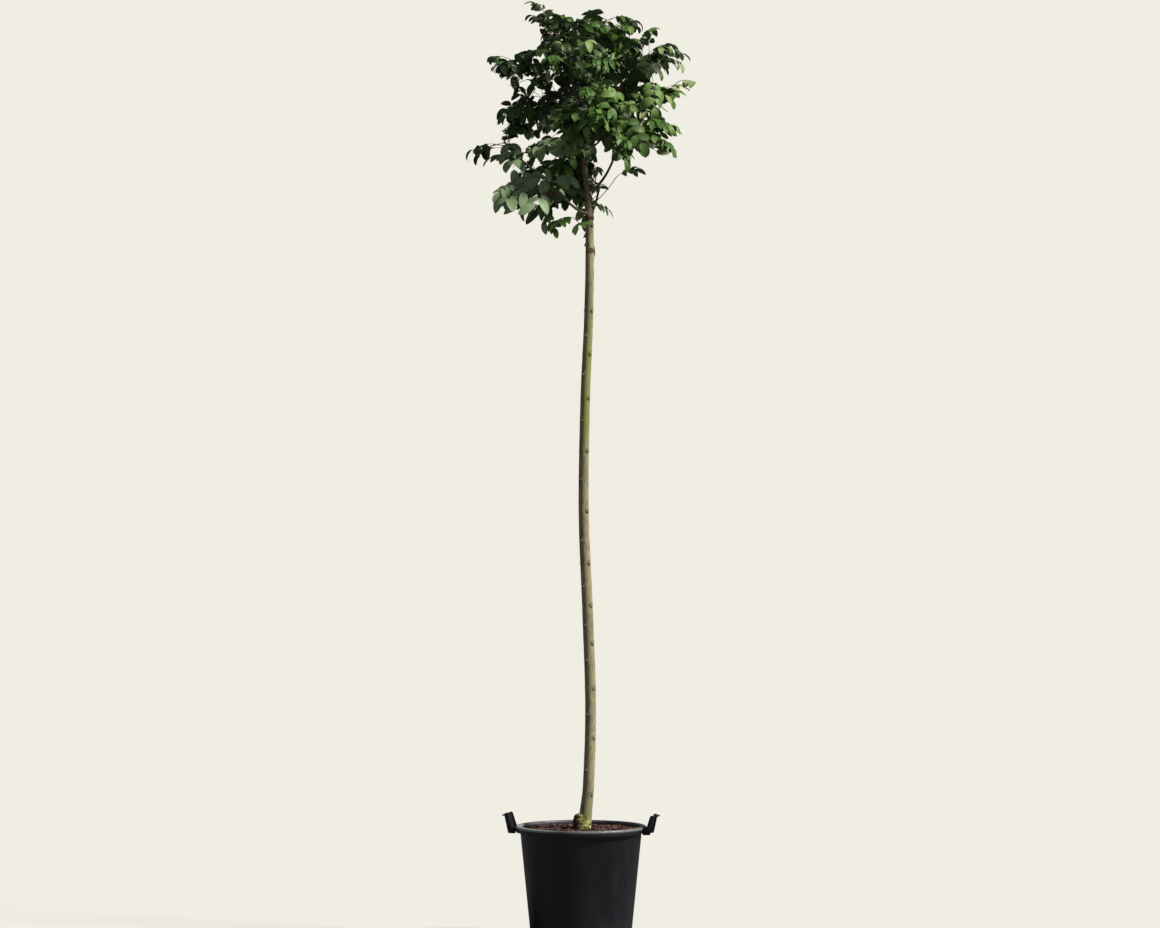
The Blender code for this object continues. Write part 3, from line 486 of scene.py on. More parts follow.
# Each row: name, height of the fork, azimuth, reach outwards, rise, radius at the fork
BOUGHS = (
    ("bough_front_left", 2.425, 232, 0.115, 0.045, 0.0055),
    ("bough_back_low", 2.425, 76, 0.125, 0.085, 0.0055),
    ("bough_left_low", 2.495, 181, 0.225, 0.125, 0.0060),
    ("bough_right_low", 2.505, 358, 0.088, 0.130, 0.0055),
    ("bough_front", 2.590, 284, 0.120, 0.065, 0.0050),
    ("bough_back", 2.590, 98, 0.130, 0.080, 0.0050),
    ("bough_left_mid", 2.640, 208, 0.075, 0.090, 0.0042),
    ("bough_right_mid", 2.640, 28, 0.090, 0.080, 0.0042),
    ("bough_left_top", 2.690, 174, 0.185, 0.135, 0.0048),
    ("bough_right_top", 2.700, 354, 0.125, 0.150, 0.0048),
    ("bough_right", 2.770, 14, 0.160, 0.020, 0.0042),
    ("bough_front_top", 2.770, 252, 0.095, 0.090, 0.0042),
    ("bough_top_left", 2.860, 196, 0.055, 0.085, 0.0036),
    ("bough_back_top", 2.860, 74, 0.095, 0.045, 0.0038),
)
BOUGH_RINGS = 6
BOUGH_TAPER = 0.62
BOUGH_COLLAR = 0.006
BOUGH_LEAD = (0.50, 0.18)


def eased(table, height, column):
    """The value of a column at a height, along a smooth curve through the rows of a table."""
    rows = sorted(table)
    if height <= rows[0][0]:
        return rows[0][column]
    for index in range(len(rows) - 1):
        low, high = rows[index], rows[index + 1]
        if height <= high[0]:
            break
    else:
        return rows[-1][column]
    before = rows[max(index - 1, 0)]
    after = rows[min(index + 2, len(rows) - 1)]
    span = high[0] - low[0]
    slope_low = (high[column] - before[column]) / (high[0] - before[0])
    slope_high = (after[column] - low[column]) / (after[0] - low[0])
    t = (height - low[0]) / span
    return ((2 * t ** 3 - 3 * t ** 2 + 1) * low[column] + (t ** 3 - 2 * t ** 2 + t) * span * slope_low
            + (3 * t ** 2 - 2 * t ** 3) * high[column] + (t ** 3 - t ** 2) * span * slope_high)


def trunk_centre(height):
    return Vector((eased(TRUNK_BENDS, height, 1), eased(TRUNK_BENDS, height, 2), height))


def trunk_radius(height):
    return eased(TRUNK_RADII, height, 1)


def stem_radius(height):
    return eased(STEM_RADII, height, 1)


def outward(azimuth):
    angle = math.radians(azimuth)
    return Vector((math.cos(angle), math.sin(angle), 0))


def arc(start, lead, end, count):
    """Points along a bent line from start to end that sets off towards lead."""
    steps = [index / (count - 1) for index in range(count)]
    return [start * (1 - t) ** 2 + lead * 2 * t * (1 - t) + end * t * t for t in steps]


def bough_path(fork_height, azimuth, reach, rise):
    """A bough sets off square to the leader, then turns up."""
    out = outward(azimuth)
    start = trunk_centre(fork_height) + out * (trunk_radius(fork_height) + GAP)
    end = start + out * reach + UP * rise
    collar = start + out * BOUGH_COLLAR
    lead = collar + out * reach * BOUGH_LEAD[0] + UP * rise * BOUGH_LEAD[1]
    return [start] + arc(collar, lead, end, BOUGH_RINGS - 1)


print("stem from", TRUNK_BENDS[0][0], "to", TRUNK_BENDS[-1][0], "m, with", len(BOUGHS), "boughs")

# %% [markdown]
# All wood in this tree is the same thing at five sizes: a round rod that tapers along a path. So one
# Geometry Nodes recipe makes it all. It takes bare lines whose points know their thickness, spaces rings
# evenly along them, sweeps a circle along each, and then pushes the skin out by noise for the bark and by
# nearness to a set of knots for the swellings. The names of its inputs say what each does.

# %% The rod recipe
class Recipe(Bench):
    """A Geometry Nodes tree with named inputs, which ends in the geometry it is given."""

    KINDS = {float: "NodeSocketFloat", int: "NodeSocketInt", "material": "NodeSocketMaterial",
             "object": "NodeSocketObject"}

    def __init__(self, name, **inputs):
        super().__init__(bpy.data.node_groups.new(name, "GeometryNodeTree"))
        face = self.tree.interface
        face.new_socket("Geometry", in_out="INPUT", socket_type="NodeSocketGeometry")
        for label, kind in inputs.items():
            face.new_socket(label, in_out="INPUT", socket_type=self.KINDS[kind])
        face.new_socket("Geometry", in_out="OUTPUT", socket_type="NodeSocketGeometry")
        self.given = self.tree.nodes.new("NodeGroupInput").outputs

    def attribute(self, name, kind="FLOAT"):
        return self.node("GeometryNodeInputNamedAttribute", name, data_type=kind)

    def close(self, geometry):
        self.node("NodeGroupOutput", geometry)


def link_mesh(name, mesh):
    """Puts a mesh in the scene as an object at the origin."""
    mesh.name = name
    return link_object(name, mesh)


def cooked(name, source, recipe, **values):
    """Runs a recipe on a mesh, and puts the plain mesh that it makes in the scene."""
    raw = link_object("raw", source)
    step = raw.modifiers.new("recipe", "NODES")
    step.node_group = recipe.tree
    for item in recipe.tree.interface.items_tree:
        if item.in_out == "INPUT" and item.name in values:
            step[item.identifier] = values[item.name]
    bpy.context.view_layer.update()
    graph = bpy.context.evaluated_depsgraph_get()
    mesh = bpy.data.meshes.new_from_object(raw.evaluated_get(graph))
    bpy.data.objects.remove(raw)
    bpy.data.meshes.remove(source)
    made = link_mesh(name, mesh)
    triangles = sum(len(face.vertices) - 2 for face in mesh.polygons)
    print(f"{name}: {triangles} triangles")
    return made


def lines_mesh(lines, **columns):
    """A mesh of bare lines; each line is a list of points, and each column a list of numbers per line."""
    mesh = bpy.data.meshes.new("lines")
    points, edges = [], []
    for line in lines:
        edges += [(len(points) + index, len(points) + index + 1) for index in range(len(line) - 1)]
        points += line
    mesh.from_pydata(points, edges, [])
    for name, column in columns.items():
        layer = mesh.attributes.new(name, "FLOAT", "POINT")
        layer.data.foreach_set("value", [value for line in column for value in line])
    return mesh


def rod_recipe():
    r = Recipe("rods", sides=int, spacing=float, streak_height=float, streak_scale=float,
               knots="object", knot_height=float, knot_reach=float, skin="material")
    curve = r.node("GeometryNodeMeshToCurve", r.given["Geometry"])
    even = r.node("GeometryNodeResampleCurve", curve, mode="LENGTH")
    r.plug(r.given["spacing"], even.node.inputs["Length"])
    circle = r.node("GeometryNodeCurvePrimitiveCircle", r.given["sides"], mode="RADIUS")
    circle.node.inputs["Radius"].default_value = 1.0
    tube = r.node("GeometryNodeCurveToMesh", even, circle)
    r.plug(r.attribute("thickness"), tube.node.inputs["Scale"])
    tube.node.inputs["Fill Caps"].default_value = True
    tube = r.node("GeometryNodeMergeByDistance", tube)
    tube.node.inputs["Distance"].default_value = 0.00001
    place = r.node("GeometryNodeInputPosition")
    normal = r.node("GeometryNodeInputNormal")
    knots = r.node("GeometryNodeObjectInfo", r.given["knots"], output="Geometry")
    knots = r.node("GeometryNodeMeshToPoints", knots)
    near = r.node("GeometryNodeProximity", knots, output="Distance", target_element="POINTS")
    stored = r.node("GeometryNodeStoreNamedAttribute", tube, None, "knot_distance", near,
                    data_type="FLOAT", domain="POINT")
    stretched = r.vector("MULTIPLY", place, (1.0, 1.0, 0.16))
    streaks = r.sum("SUBTRACT", r.node("ShaderNodeTexNoise", stretched, r.given["streak_scale"], 4.0, 0.6), 0.5)
    swelling = r.node("ShaderNodeMapRange", near, 0.0, r.given["knot_reach"], 1.0, 0.0,
                      interpolation_type="SMOOTHSTEP")
    push = r.sum("MULTIPLY", streaks, r.given["streak_height"])
    push = r.sum("ADD", push, r.sum("MULTIPLY", swelling, r.given["knot_height"]))
    moved = r.node("GeometryNodeSetPosition", stored)
    r.plug(r.vector("SCALE", normal, push), moved.node.inputs["Offset"])
    skinned = r.node("GeometryNodeSetMaterial", r.node("GeometryNodeSetShadeSmooth", moved), None, r.given["skin"])
    r.close(r.node("GeometryNodeRealizeInstances", skinned))
    return r


RODS = rod_recipe()
print("rod recipe:", [item.name for item in RODS.tree.interface.items_tree])

# %% [markdown]
# The knots are where the grower cut off side shoots while the stem was trained. An ash sets its buds in
# opposite pairs, each pair turned a quarter from the last, so the knots climb the stem in the same order.
# Each is a swelling in the bark with a scar on it: a ring of callus that has rolled over a brown wound.

# %% The stem with its knots
LOWEST_KNOT = 0.490
KNOT_SPACINGS = (0.080, 0.108, 0.078, 0.087, 0.093, 0.057, 0.060, 0.067, 0.063, 0.077, 0.077,
                 0.097, 0.103, 0.097, 0.102, 0.075, 0.078, 0.068, 0.060, 0.084, 0.200, 0.085)
KNOT_AZIMUTH = 318
TRUNK_FOOT = 0.348
TRUNK_STEP = 0.012


def knot_heights():
    heights = [LOWEST_KNOT]
    for spacing in KNOT_SPACINGS:
        heights.append(heights[-1] + spacing)
    return heights


def knot_places():
    """Each knot's place on the bark and the way it faces."""
    places = []
    for index, height in enumerate(knot_heights()):
        for side in (0, 180):
            out = outward(KNOT_AZIMUTH + 90 * index + side)
            places.append((trunk_centre(height) + out * stem_radius(height), out))
    return places


KNOTS = link_object("knots", lines_mesh([[place] for place, out in knot_places()]))
KNOTS.hide_render = True


def make_trunk():
    count = round((TRUNK_BENDS[-1][0] - TRUNK_FOOT) / TRUNK_STEP)
    heights = [TRUNK_FOOT + (TRUNK_BENDS[-1][0] - TRUNK_FOOT) * index / count for index in range(count + 1)]
    line = [trunk_centre(height) for height in heights]
    mesh = lines_mesh([line], thickness=[[stem_radius(height) for height in heights]])
    trunk = cooked("stem_bark", mesh, RODS, sides=40, spacing=0.0028, streak_height=0.0009, streak_scale=150.0,
                   knots=KNOTS, knot_height=0.0026, knot_reach=0.0125, skin=BARK)
    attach(trunk, "root")
    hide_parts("trunk")


make_trunk()

# %% [markdown]
# At its foot the stem stands in the swelling of the graft, where the garden form was set on a seedling
# root. It bulges out on the left, ends in an abrupt shoulder, and is lumpy all over. It is a ball drawn out
# square at the shoulders, which a recipe then pushes into burrs by two sizes of noise.

# %% The graft
GRAFT_CENTRE = Vector((0.0035, 0.0, 0.3890))
GRAFT_HALF = (0.0300, 0.0290, 0.0360)
GRAFT_SQUARENESS = 3.4
BURR_HEIGHT = 0.008


def burr_recipe():
    r = Recipe("burrs", height=float, skin="material")
    place = r.node("GeometryNodeInputPosition")
    coarse = r.sum("SUBTRACT", r.noise(place, 48.0, 2.0), 0.47)
    fine = r.sum("MULTIPLY", r.sum("SUBTRACT", r.noise(place, 190.0, 3.0), 0.5), 0.4)
    push = r.sum("MULTIPLY", r.sum("ADD", coarse, fine), r.given["height"])
    moved = r.node("GeometryNodeSetPosition", r.given["Geometry"])
    r.plug(r.vector("SCALE", r.node("GeometryNodeInputNormal"), push), moved.node.inputs["Offset"])
    skinned = r.node("GeometryNodeSetMaterial", r.node("GeometryNodeSetShadeSmooth", moved), None, r.given["skin"])
    r.close(r.node("GeometryNodeRealizeInstances", skinned))
    return r


def make_graft():
    bm = bmesh.new()
    bmesh.ops.create_icosphere(bm, subdivisions=6, radius=1.0)
    for vertex in bm.verts:
        reach, rise = vertex.co.xy.length, abs(vertex.co.z)
        square = (reach ** GRAFT_SQUARENESS + rise ** GRAFT_SQUARENESS) ** (1 / GRAFT_SQUARENESS)
        vertex.co = GRAFT_CENTRE + Vector([vertex.co[i] / square * GRAFT_HALF[i] for i in range(3)])
    mesh = bpy.data.meshes.new("ball")
    bm.to_mesh(mesh)
    bm.free()
    graft = cooked("graft_swelling", mesh, burr_recipe(), height=BURR_HEIGHT, skin=GRAFT_BARK)
    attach(graft, "root")
    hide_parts("trunk")


make_graft()

# %% [markdown]
# A scar is small but there are over forty, so it is made once and instanced on the knots, each turned to
# face out of the bark and each a little different in size. Its shape is a shallow dish with a rolled rim.

# %% Pruning scars
SCAR_PROFILE = ((0.0, 0.05), (0.42, -0.05), (0.62, 0.10), (0.80, 0.34), (0.96, 0.18), (1.06, -0.30), (0.0, -0.45))
SCAR_SIDES = 14
SCAR_RADIUS = 0.0047


def scar_shape():
    """A dish with a rolled rim, one unit in radius, that faces along Z."""
    bm = bmesh.new()
    rings = []
    for radius, height in SCAR_PROFILE:
        if radius == 0.0:
            rings.append([bm.verts.new((0, 0, height))])
            continue
        turns = [math.tau * side / SCAR_SIDES for side in range(SCAR_SIDES)]
        rings.append([bm.verts.new((math.cos(t) * radius, math.sin(t) * radius * 1.25, height)) for t in turns])
    for low, high in zip(rings, rings[1:]):
        for side in range(SCAR_SIDES):
            after = (side + 1) % SCAR_SIDES
            corners = [low[side % len(low)], low[after % len(low)], high[after % len(high)], high[side % len(high)]]
            bm.faces.new(list(dict.fromkeys(corners)))
    bmesh.ops.recalc_face_normals(bm, faces=bm.faces)
    mesh = bpy.data.meshes.new("scar_shape")
    bm.to_mesh(mesh)
    bm.free()
    mesh.shade_smooth()
    return mesh


def scar_finish():
    material, bench, surface = finish("scar_cork", 0.85, 0.2)
    place = bench.node("ShaderNodeTexCoord", output="Object")
    crumbs = bench.noise(place, 500.0, 3.0)
    rim = bench.node("ShaderNodeAttribute", attribute_name="rim", output="Fac")
    wound = bench.mixed(bench.between(crumbs, 0.35, 0.65), (0.060, 0.036, 0.022), (0.150, 0.095, 0.058))
    callus = bench.mixed(bench.between(crumbs, 0.35, 0.65), (0.270, 0.215, 0.130), (0.430, 0.365, 0.230))
    bench.plug(bench.mixed(bench.between(rim, 0.5, 0.72), wound, callus), surface.inputs["Base Color"])
    relief(bench, surface, crumbs, 0.0006)
    return material


def scatter_recipe():
    """Sets a shape on every point, turned to its 'facing', sized by its 'size', spun by its 'spin'."""
    r = Recipe("scatter", shape="object", skin="material")
    shape = r.node("GeometryNodeObjectInfo", r.given["shape"], output="Geometry")
    turn = r.node("FunctionNodeAlignRotationToVector", None, 1.0, r.attribute("facing", "FLOAT_VECTOR"), axis="Z")
    spin = r.node("ShaderNodeCombineXYZ", 0.0, 0.0, r.attribute("spin"))
    turned = r.node("FunctionNodeRotateRotation", turn, spin, rotation_space="LOCAL")
    points = r.node("GeometryNodeMeshToPoints", r.given["Geometry"])
    placed = r.node("GeometryNodeInstanceOnPoints", points)
    node = placed.node
    r.plug(shape, node.inputs["Instance"])
    r.plug(turned, node.inputs["Rotation"])
    r.plug(r.attribute("size", "FLOAT_VECTOR"), node.inputs["Scale"])
    real = r.node("GeometryNodeRealizeInstances", placed)
    r.close(r.node("GeometryNodeSetMaterial", real, None, r.given["skin"]))
    return r


def points_mesh(places, facings, sizes, spins):
    """A mesh of bare points that carry how a shape is to be set on them."""
    mesh = lines_mesh([[place] for place in places], spin=[[spin] for spin in spins])
    for name, vectors in (("facing", facings), ("size", sizes)):
        layer = mesh.attributes.new(name, "FLOAT_VECTOR", "POINT")
        layer.data.foreach_set("vector", [value for vector in vectors for value in vector])
    return mesh


def shape_object(mesh):
    """A hidden object that holds a shape for a recipe to copy."""
    shape = link_object("shape", mesh)
    shape.hide_render = True
    return shape


SCATTER = scatter_recipe()


def make_scars():
    rng = random.Random(7)
    places, facings, sizes, spins = [], [], [], []
    for place, out in knot_places():
        radius = SCAR_RADIUS * rng.uniform(0.75, 1.1)
        places.append(place + out * 0.0021)
        facings.append((out + UP * rng.uniform(0.0, 0.35)).normalized())
        sizes.append((radius, radius, radius * 0.8))
        spins.append(rng.uniform(-0.2, 0.2))
    shape = scar_shape()
    layer = shape.attributes.new("rim", "FLOAT", "POINT")
    layer.data.foreach_set("value", [min(vertex.co.xy.length, 1.0) for vertex in shape.vertices])
    source = shape_object(shape)
    scars = cooked("pruning_scars", points_mesh(places, facings, sizes, spins), SCATTER, shape=source,
                   skin=scar_finish())
    bpy.data.objects.remove(source)
    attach(scars, "root")


make_scars()

# %% [markdown]
# The crown grows by the same seeded rule as the solids. Fifteen masses share it out, each in an egg-shaped
# space of its own. From its bough's tip a stem bends to the middle of that space, opposite twigs fork from
# the stem at three nodes, and each twig grows only as far as the space has room. Where the photograph shows
# sky through the crown, nothing may grow. Here the rule is carried on to side shoots and real leaves.

# %% Spaces of the crown
# Each row: name, what its stem grows from, centre of the space, half-extents, droop, seed
MASSES = (
    ("foliage_low_left", "bough_front_left", (-0.170, -0.110, 2.460), (0.180, 0.160, 0.140), 0.70, 11),
    ("foliage_low_back", "bough_back_low", (-0.060, 0.180, 2.540), (0.150, 0.160, 0.130), 0.60, 40),
    ("foliage_left_low", "bough_left_low", (-0.260, 0.000, 2.680), (0.135, 0.180, 0.140), 0.40, 69),
    ("foliage_right_low", "bough_right_low", (0.220, -0.050, 2.670), (0.175, 0.180, 0.120), 0.55, 92),
    ("foliage_front", "bough_front", (0.050, -0.220, 2.720), (0.180, 0.160, 0.150), 0.55, 103),
    ("foliage_back", "bough_back", (0.030, 0.250, 2.740), (0.180, 0.150, 0.150), 0.50, 102),
    ("foliage_left_mid", "bough_left_mid", (-0.130, -0.060, 2.770), (0.130, 0.160, 0.130), 0.45, 93),
    ("foliage_right_mid", "bough_right_mid", (0.110, 0.040, 2.800), (0.130, 0.140, 0.130), 0.40, 19),
    ("foliage_left_top", "bough_left_top", (-0.235, 0.010, 2.900), (0.125, 0.170, 0.120), 0.40, 103),
    ("foliage_right_top", "bough_right_top", (0.240, -0.010, 2.950), (0.135, 0.170, 0.115), 0.35, 49),
    ("foliage_right", "bough_right", (0.270, 0.060, 2.800), (0.130, 0.180, 0.090), 0.45, 48),
    ("foliage_front_top", "bough_front_top", (-0.020, -0.170, 2.930), (0.180, 0.160, 0.130), 0.45, 88),
    ("foliage_top_left", "bough_top_left", (-0.110, 0.010, 3.025), (0.130, 0.170, 0.110), 0.30, 20),
    ("foliage_back_top", "bough_back_top", (0.060, 0.190, 2.950), (0.180, 0.160, 0.130), 0.40, 115),
    ("foliage_top", "trunk", (0.095, 0.000, 3.040), (0.160, 0.160, 0.095), 0.30, 57),
)
# Sky that shows right through the crown: centre along X and Z, half-width, half-height
SKY_GAPS = (
    (0.180, 2.470, 0.120, 0.130),
    (0.085, 2.620, 0.035, 0.040),
    (-0.150, 2.825, 0.028, 0.020),
)
SPACE_MARGIN = 0.025
ROOM_STEP = 0.010
ROOM_FARTHEST = 0.400


def in_reach(point, mass):
    """How far a point is from the middle of a mass, where 1 is the edge of its space."""
    centre, half = mass[2], mass[3]
    return math.sqrt(sum(((point[i] - centre[i]) / half[i]) ** 2 for i in range(3)))


def in_sky(point):
    """Whether a point stands in one of the gaps, which run right through the crown along Y."""
    for x, z, wide, tall in SKY_GAPS:
        if ((point[0] - x) / wide) ** 2 + ((point[2] - z) / tall) ** 2 < 1:
            return True
    return False


def in_space(point, mass):
    """A mass keeps to its own space: in its reach, nearer to it than to any other, out of the sky gaps."""
    own = in_reach(point, mass)
    if own > 1 or in_sky(point):
        return False
    return all(own + SPACE_MARGIN < in_reach(point, other) for other in MASSES if other is not mass)


def room_along(start, heading, mass):
    """How far a straight line from a point stays in the space of its mass."""
    distance = 0.0
    while distance < ROOM_FARTHEST and in_space(start + heading * (distance + ROOM_STEP), mass):
        distance += ROOM_STEP
    return distance


def across(heading, turn):
    """The direction square to a heading, turned about it; no turn is level."""
    level = heading.cross(UP)
    level = level.normalized() if level.length > 0.05 else Vector((1, 0, 0))
    return Matrix.Rotation(math.radians(turn), 3, heading) @ level


print(len(MASSES), "spaces share the crown")

# %% [markdown]
# Stems and twigs come next. The twigs keep clear of the limbs and of the masses that were grown before
# them, and a search tree over those solids answers how near a point is. A twig that has no room becomes a
# leaf instead, as a bud does that the shade keeps small.

# %% Stems and twigs
STEM_NODES = (0.30, 0.55, 0.80)
STEM_RINGS = 5
STEM_PAST_CENTRE = 0.05
STEM_SOCKET = 0.006
FORK_ANGLE = 60
FORK_JITTER = 12
FORK_ROLL_JITTER = 14
FORK_STAGGER = 0.002
TWIG_SHORTEST = 0.020
TWIG_LONGEST = 0.110
TWIG_LIFT = 0.10
UPTURN = 0.20
LEAF_REACH = 0.150
LEAF_SINK = 0.002
LEAF_PAIR_BACKS = (0.010, 0.006)
LEAF_SPREAD = 60
LEAF_SPREAD_JITTER = 12
LEAF_ROLL_JITTER = 35
TWIG_CLEARANCE = 0.004
LINE_STEP = 0.005
LEADER_LAST_RINGS = (2.874, 2.960)


def tree_of(nodes):
    """A search tree over the triangles of some solids."""
    corners, faces = [], []
    for node in nodes:
        offset = len(corners)
        corners += [vertex.co.copy() for vertex in node.data.vertices]
        faces += [[offset + index for index in face.vertices] for face in node.data.polygons]
    return BVHTree.FromPolygons(corners, faces)


def stops_along(points):
    """Closely spaced points along a bent line."""
    stops = [points[0]]
    for first, second in zip(points, points[1:]):
        count = math.ceil((second - first).length / LINE_STEP)
        stops += [first.lerp(second, (index + 1) / count) for index in range(count)]
    return stops


def clear_of(points, trees, clearance):
    """Whether every point stands clear of everything in some search trees."""
    return not any(tree.find_nearest(point)[3] <= clearance for tree in trees for point in points)


def stem_start(parent):
    """Where a mass's stem begins, and which way it sets off."""
    if parent == "trunk":
        below, top = (trunk_centre(height) for height in LEADER_LAST_RINGS)
        along = (top - below).normalized()
        return top + along * GAP, along
    row = next(row for row in BOUGHS if row[0] == parent)
    points = bough_path(*row[1:5])
    along = (points[-1] - points[-2]).normalized()
    return points[-1] + along * GAP, along


def stem_path(mass, rings=STEM_RINGS):
    """The stem of a mass: a short straight foot on its bough's tip, then a bend to the space's middle."""
    start, heading = stem_start(mass[1])
    centre = Vector(mass[2])
    socket = start + heading * STEM_SOCKET
    lead = socket + heading * (centre - start).length * 0.5
    end = centre + (centre - start) * STEM_PAST_CENTRE
    return [start] + arc(socket, lead, end, rings)


def end_sites(twig, rng):
    """Where the leaves at a twig's end set off: an end leaf and a pair just under it."""
    tip_along = (twig[2] - twig[1]).normalized()
    sites = [(twig[2] - tip_along * LEAF_SINK, tip_along)]
    roll = rng.uniform(-LEAF_ROLL_JITTER, LEAF_ROLL_JITTER)
    for side, back in zip((0, 180), LEAF_PAIR_BACKS):
        turn = math.radians(LEAF_SPREAD + rng.uniform(-LEAF_SPREAD_JITTER, LEAF_SPREAD_JITTER))
        head = tip_along * math.cos(turn) + across(tip_along, roll + side) * math.sin(turn)
        sites.append((twig[2] - tip_along * back, head.normalized()))
    return sites


def grow_twigs(mass, solid_trees, rng):
    """The opposite twigs at the nodes of a mass's stem, and the places where leaves set off."""
    stem = stem_path(mass)[1:]
    twigs = []
    tip_along = (stem[-1] - stem[-2]).normalized()
    sites = [(stem[-1] - tip_along * LEAF_SINK, tip_along)]
    first_turn = rng.uniform(0, 180)
    for index, node in enumerate(STEM_NODES):
        place = node * (STEM_RINGS - 1)
        low = int(place)
        along = (stem[low + 1] - stem[low]).normalized()
        for side, stagger in ((0, -FORK_STAGGER), (180, FORK_STAGGER)):
            at = stem[low].lerp(stem[low + 1], place - low) + along * stagger
            roll = first_turn + 90 * index + side + rng.uniform(-FORK_ROLL_JITTER, FORK_ROLL_JITTER)
            angle = math.radians(FORK_ANGLE + rng.uniform(-FORK_JITTER, FORK_JITTER))
            head = along * math.cos(angle) + across(along, roll) * math.sin(angle) + UP * UPTURN
            head.normalize()
            length = min(room_along(at, head, mass) - LEAF_REACH, TWIG_LONGEST)
            if length < TWIG_SHORTEST:
                sites.append((at, head))
                continue
            twig = arc(at, at + head * length * 0.5, at + (head + UP * TWIG_LIFT) * length, 3)
            if not clear_of(stops_along(twig), solid_trees, TWIG_CLEARANCE):
                continue
            twigs.append(twig)
            sites += end_sites(twig, rng)
    return twigs, sites


LIMBS = tree_of([node for name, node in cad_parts.items() if name == "trunk" or name.startswith("bough")])
WOOD = {}
grown_before = [LIMBS]
for mass in MASSES:
    WOOD[mass[0]] = grow_twigs(mass, grown_before, random.Random(mass[5]))
    grown_before.append(tree_of([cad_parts[mass[0]]]))
print("twigs:", sum(len(twigs) for twigs, sites in WOOD.values()),
      "leaf sites:", sum(len(sites) for twigs, sites in WOOD.values()))

# %% [markdown]
# A manna ash leaf is a feather: a slim arched stalk with two or three opposite pairs of leaflets and one at
# its end. Leaves sit in opposite pairs as well, at every node of a twig. How they hang differs over the
# crown: at the upper left the leaflets lie level and arch over like sickles, at the lower left they hang
# broad side on, and at the right tips they are young and small. So each mass has a habit: how much its
# leaflets curl, how far they hang, how much they turn to the front, how unevenly they face, how large they
# are, a seed, and which tints its sprays take.

# %% A leaf
# Each row: curl, hang, turn to the front, unevenness, size, seed, then the share of each leaf tint
# Painted light in the tint shares: shaded left and top masses take mostly deep tints, sunlit right ones bright and
# fresh, the lower left the pale sage.
HABITS = {
    "foliage_low_left": (0.55, 0.75, 1.10, 0.7, 1.04, 59, (0, 2, 1, 0, 7)),
    "foliage_low_back": (0.80, 0.50, 0.20, 0.8, 0.80, 15, (2, 5, 1, 0, 1)),
    "foliage_left_low": (1.30, 0.20, 0.15, 0.5, 0.76, 116, (4, 3, 0, 0, 3)),
    "foliage_right_low": (0.70, 0.40, 0.40, 0.8, 0.80, 155, (2, 4, 2, 1, 0)),
    "foliage_front": (1.00, 0.35, 0.25, 0.9, 0.74, 15, (1, 5, 3, 0, 0)),
    "foliage_back": (0.90, 0.35, 0.00, 0.8, 0.76, 31, (3, 5, 2, 0, 0)),
    "foliage_left_mid": (1.20, 0.30, 0.20, 0.7, 0.70, 34, (6, 2, 0, 0, 1)),
    "foliage_right_mid": (0.90, 0.35, 0.20, 0.9, 0.70, 48, (3, 5, 2, 0, 0)),
    "foliage_left_top": (1.30, 0.25, 0.30, 0.5, 0.74, 77, (7, 1, 0, 0, 0)),
    "foliage_right_top": (0.90, 0.25, 0.30, 0.6, 0.72, 66, (4, 3, 2, 2, 0)),
    "foliage_right": (0.60, 0.35, 0.30, 0.6, 0.82, 151, (1, 2, 3, 4, 0)),
    "foliage_front_top": (1.40, 0.20, 0.10, 0.8, 0.68, 71, (6, 3, 1, 1, 0)),
    "foliage_top_left": (1.70, 0.10, 0.00, 0.35, 0.70, 32, (6, 2, 0, 0, 0)),
    "foliage_back_top": (1.10, 0.25, 0.00, 0.7, 0.70, 111, (4, 4, 1, 0, 0)),
    "foliage_top": (1.60, 0.10, 0.05, 0.40, 0.68, 50, (4, 4, 1, 1, 0)),
}
LEAF_LENGTH = 0.122
LEAF_SIZES = (0.82, 1.12)
LEAFLET_LENGTH = 0.058
LEAFLET_SIZES = (0.88, 1.10)
LEAFLET_WIDTH = (0.215, 0.265)
PAIR_PLACES = {5: (0.50, 0.76), 7: (0.38, 0.60, 0.82)}
PAIR_SHARES = (0.84, 0.96, 1.0)
LEAFLET_ANGLE = 56
LEAFLET_ANGLE_JITTER = 9
FACING_OUT = 0.45
FACING_JITTER = (0.50, 0.50, 0.25)
LEAFLET_TWIST = 0.22
STALK_ARCH = 0.06
STALK_FALL = 0.75


def leaf_facing(point, front, uneven, rng):
    """The way a leaf's upper side faces: up and out of the crown, no two quite alike."""
    out = point - trunk_centre(point.z)
    out.z = 0
    jitter = Vector([rng.gauss(0, spread * uneven) for spread in FACING_JITTER])
    return (UP + out.normalized() * FACING_OUT * uneven + Vector((0, -front, 0)) + jitter).normalized()


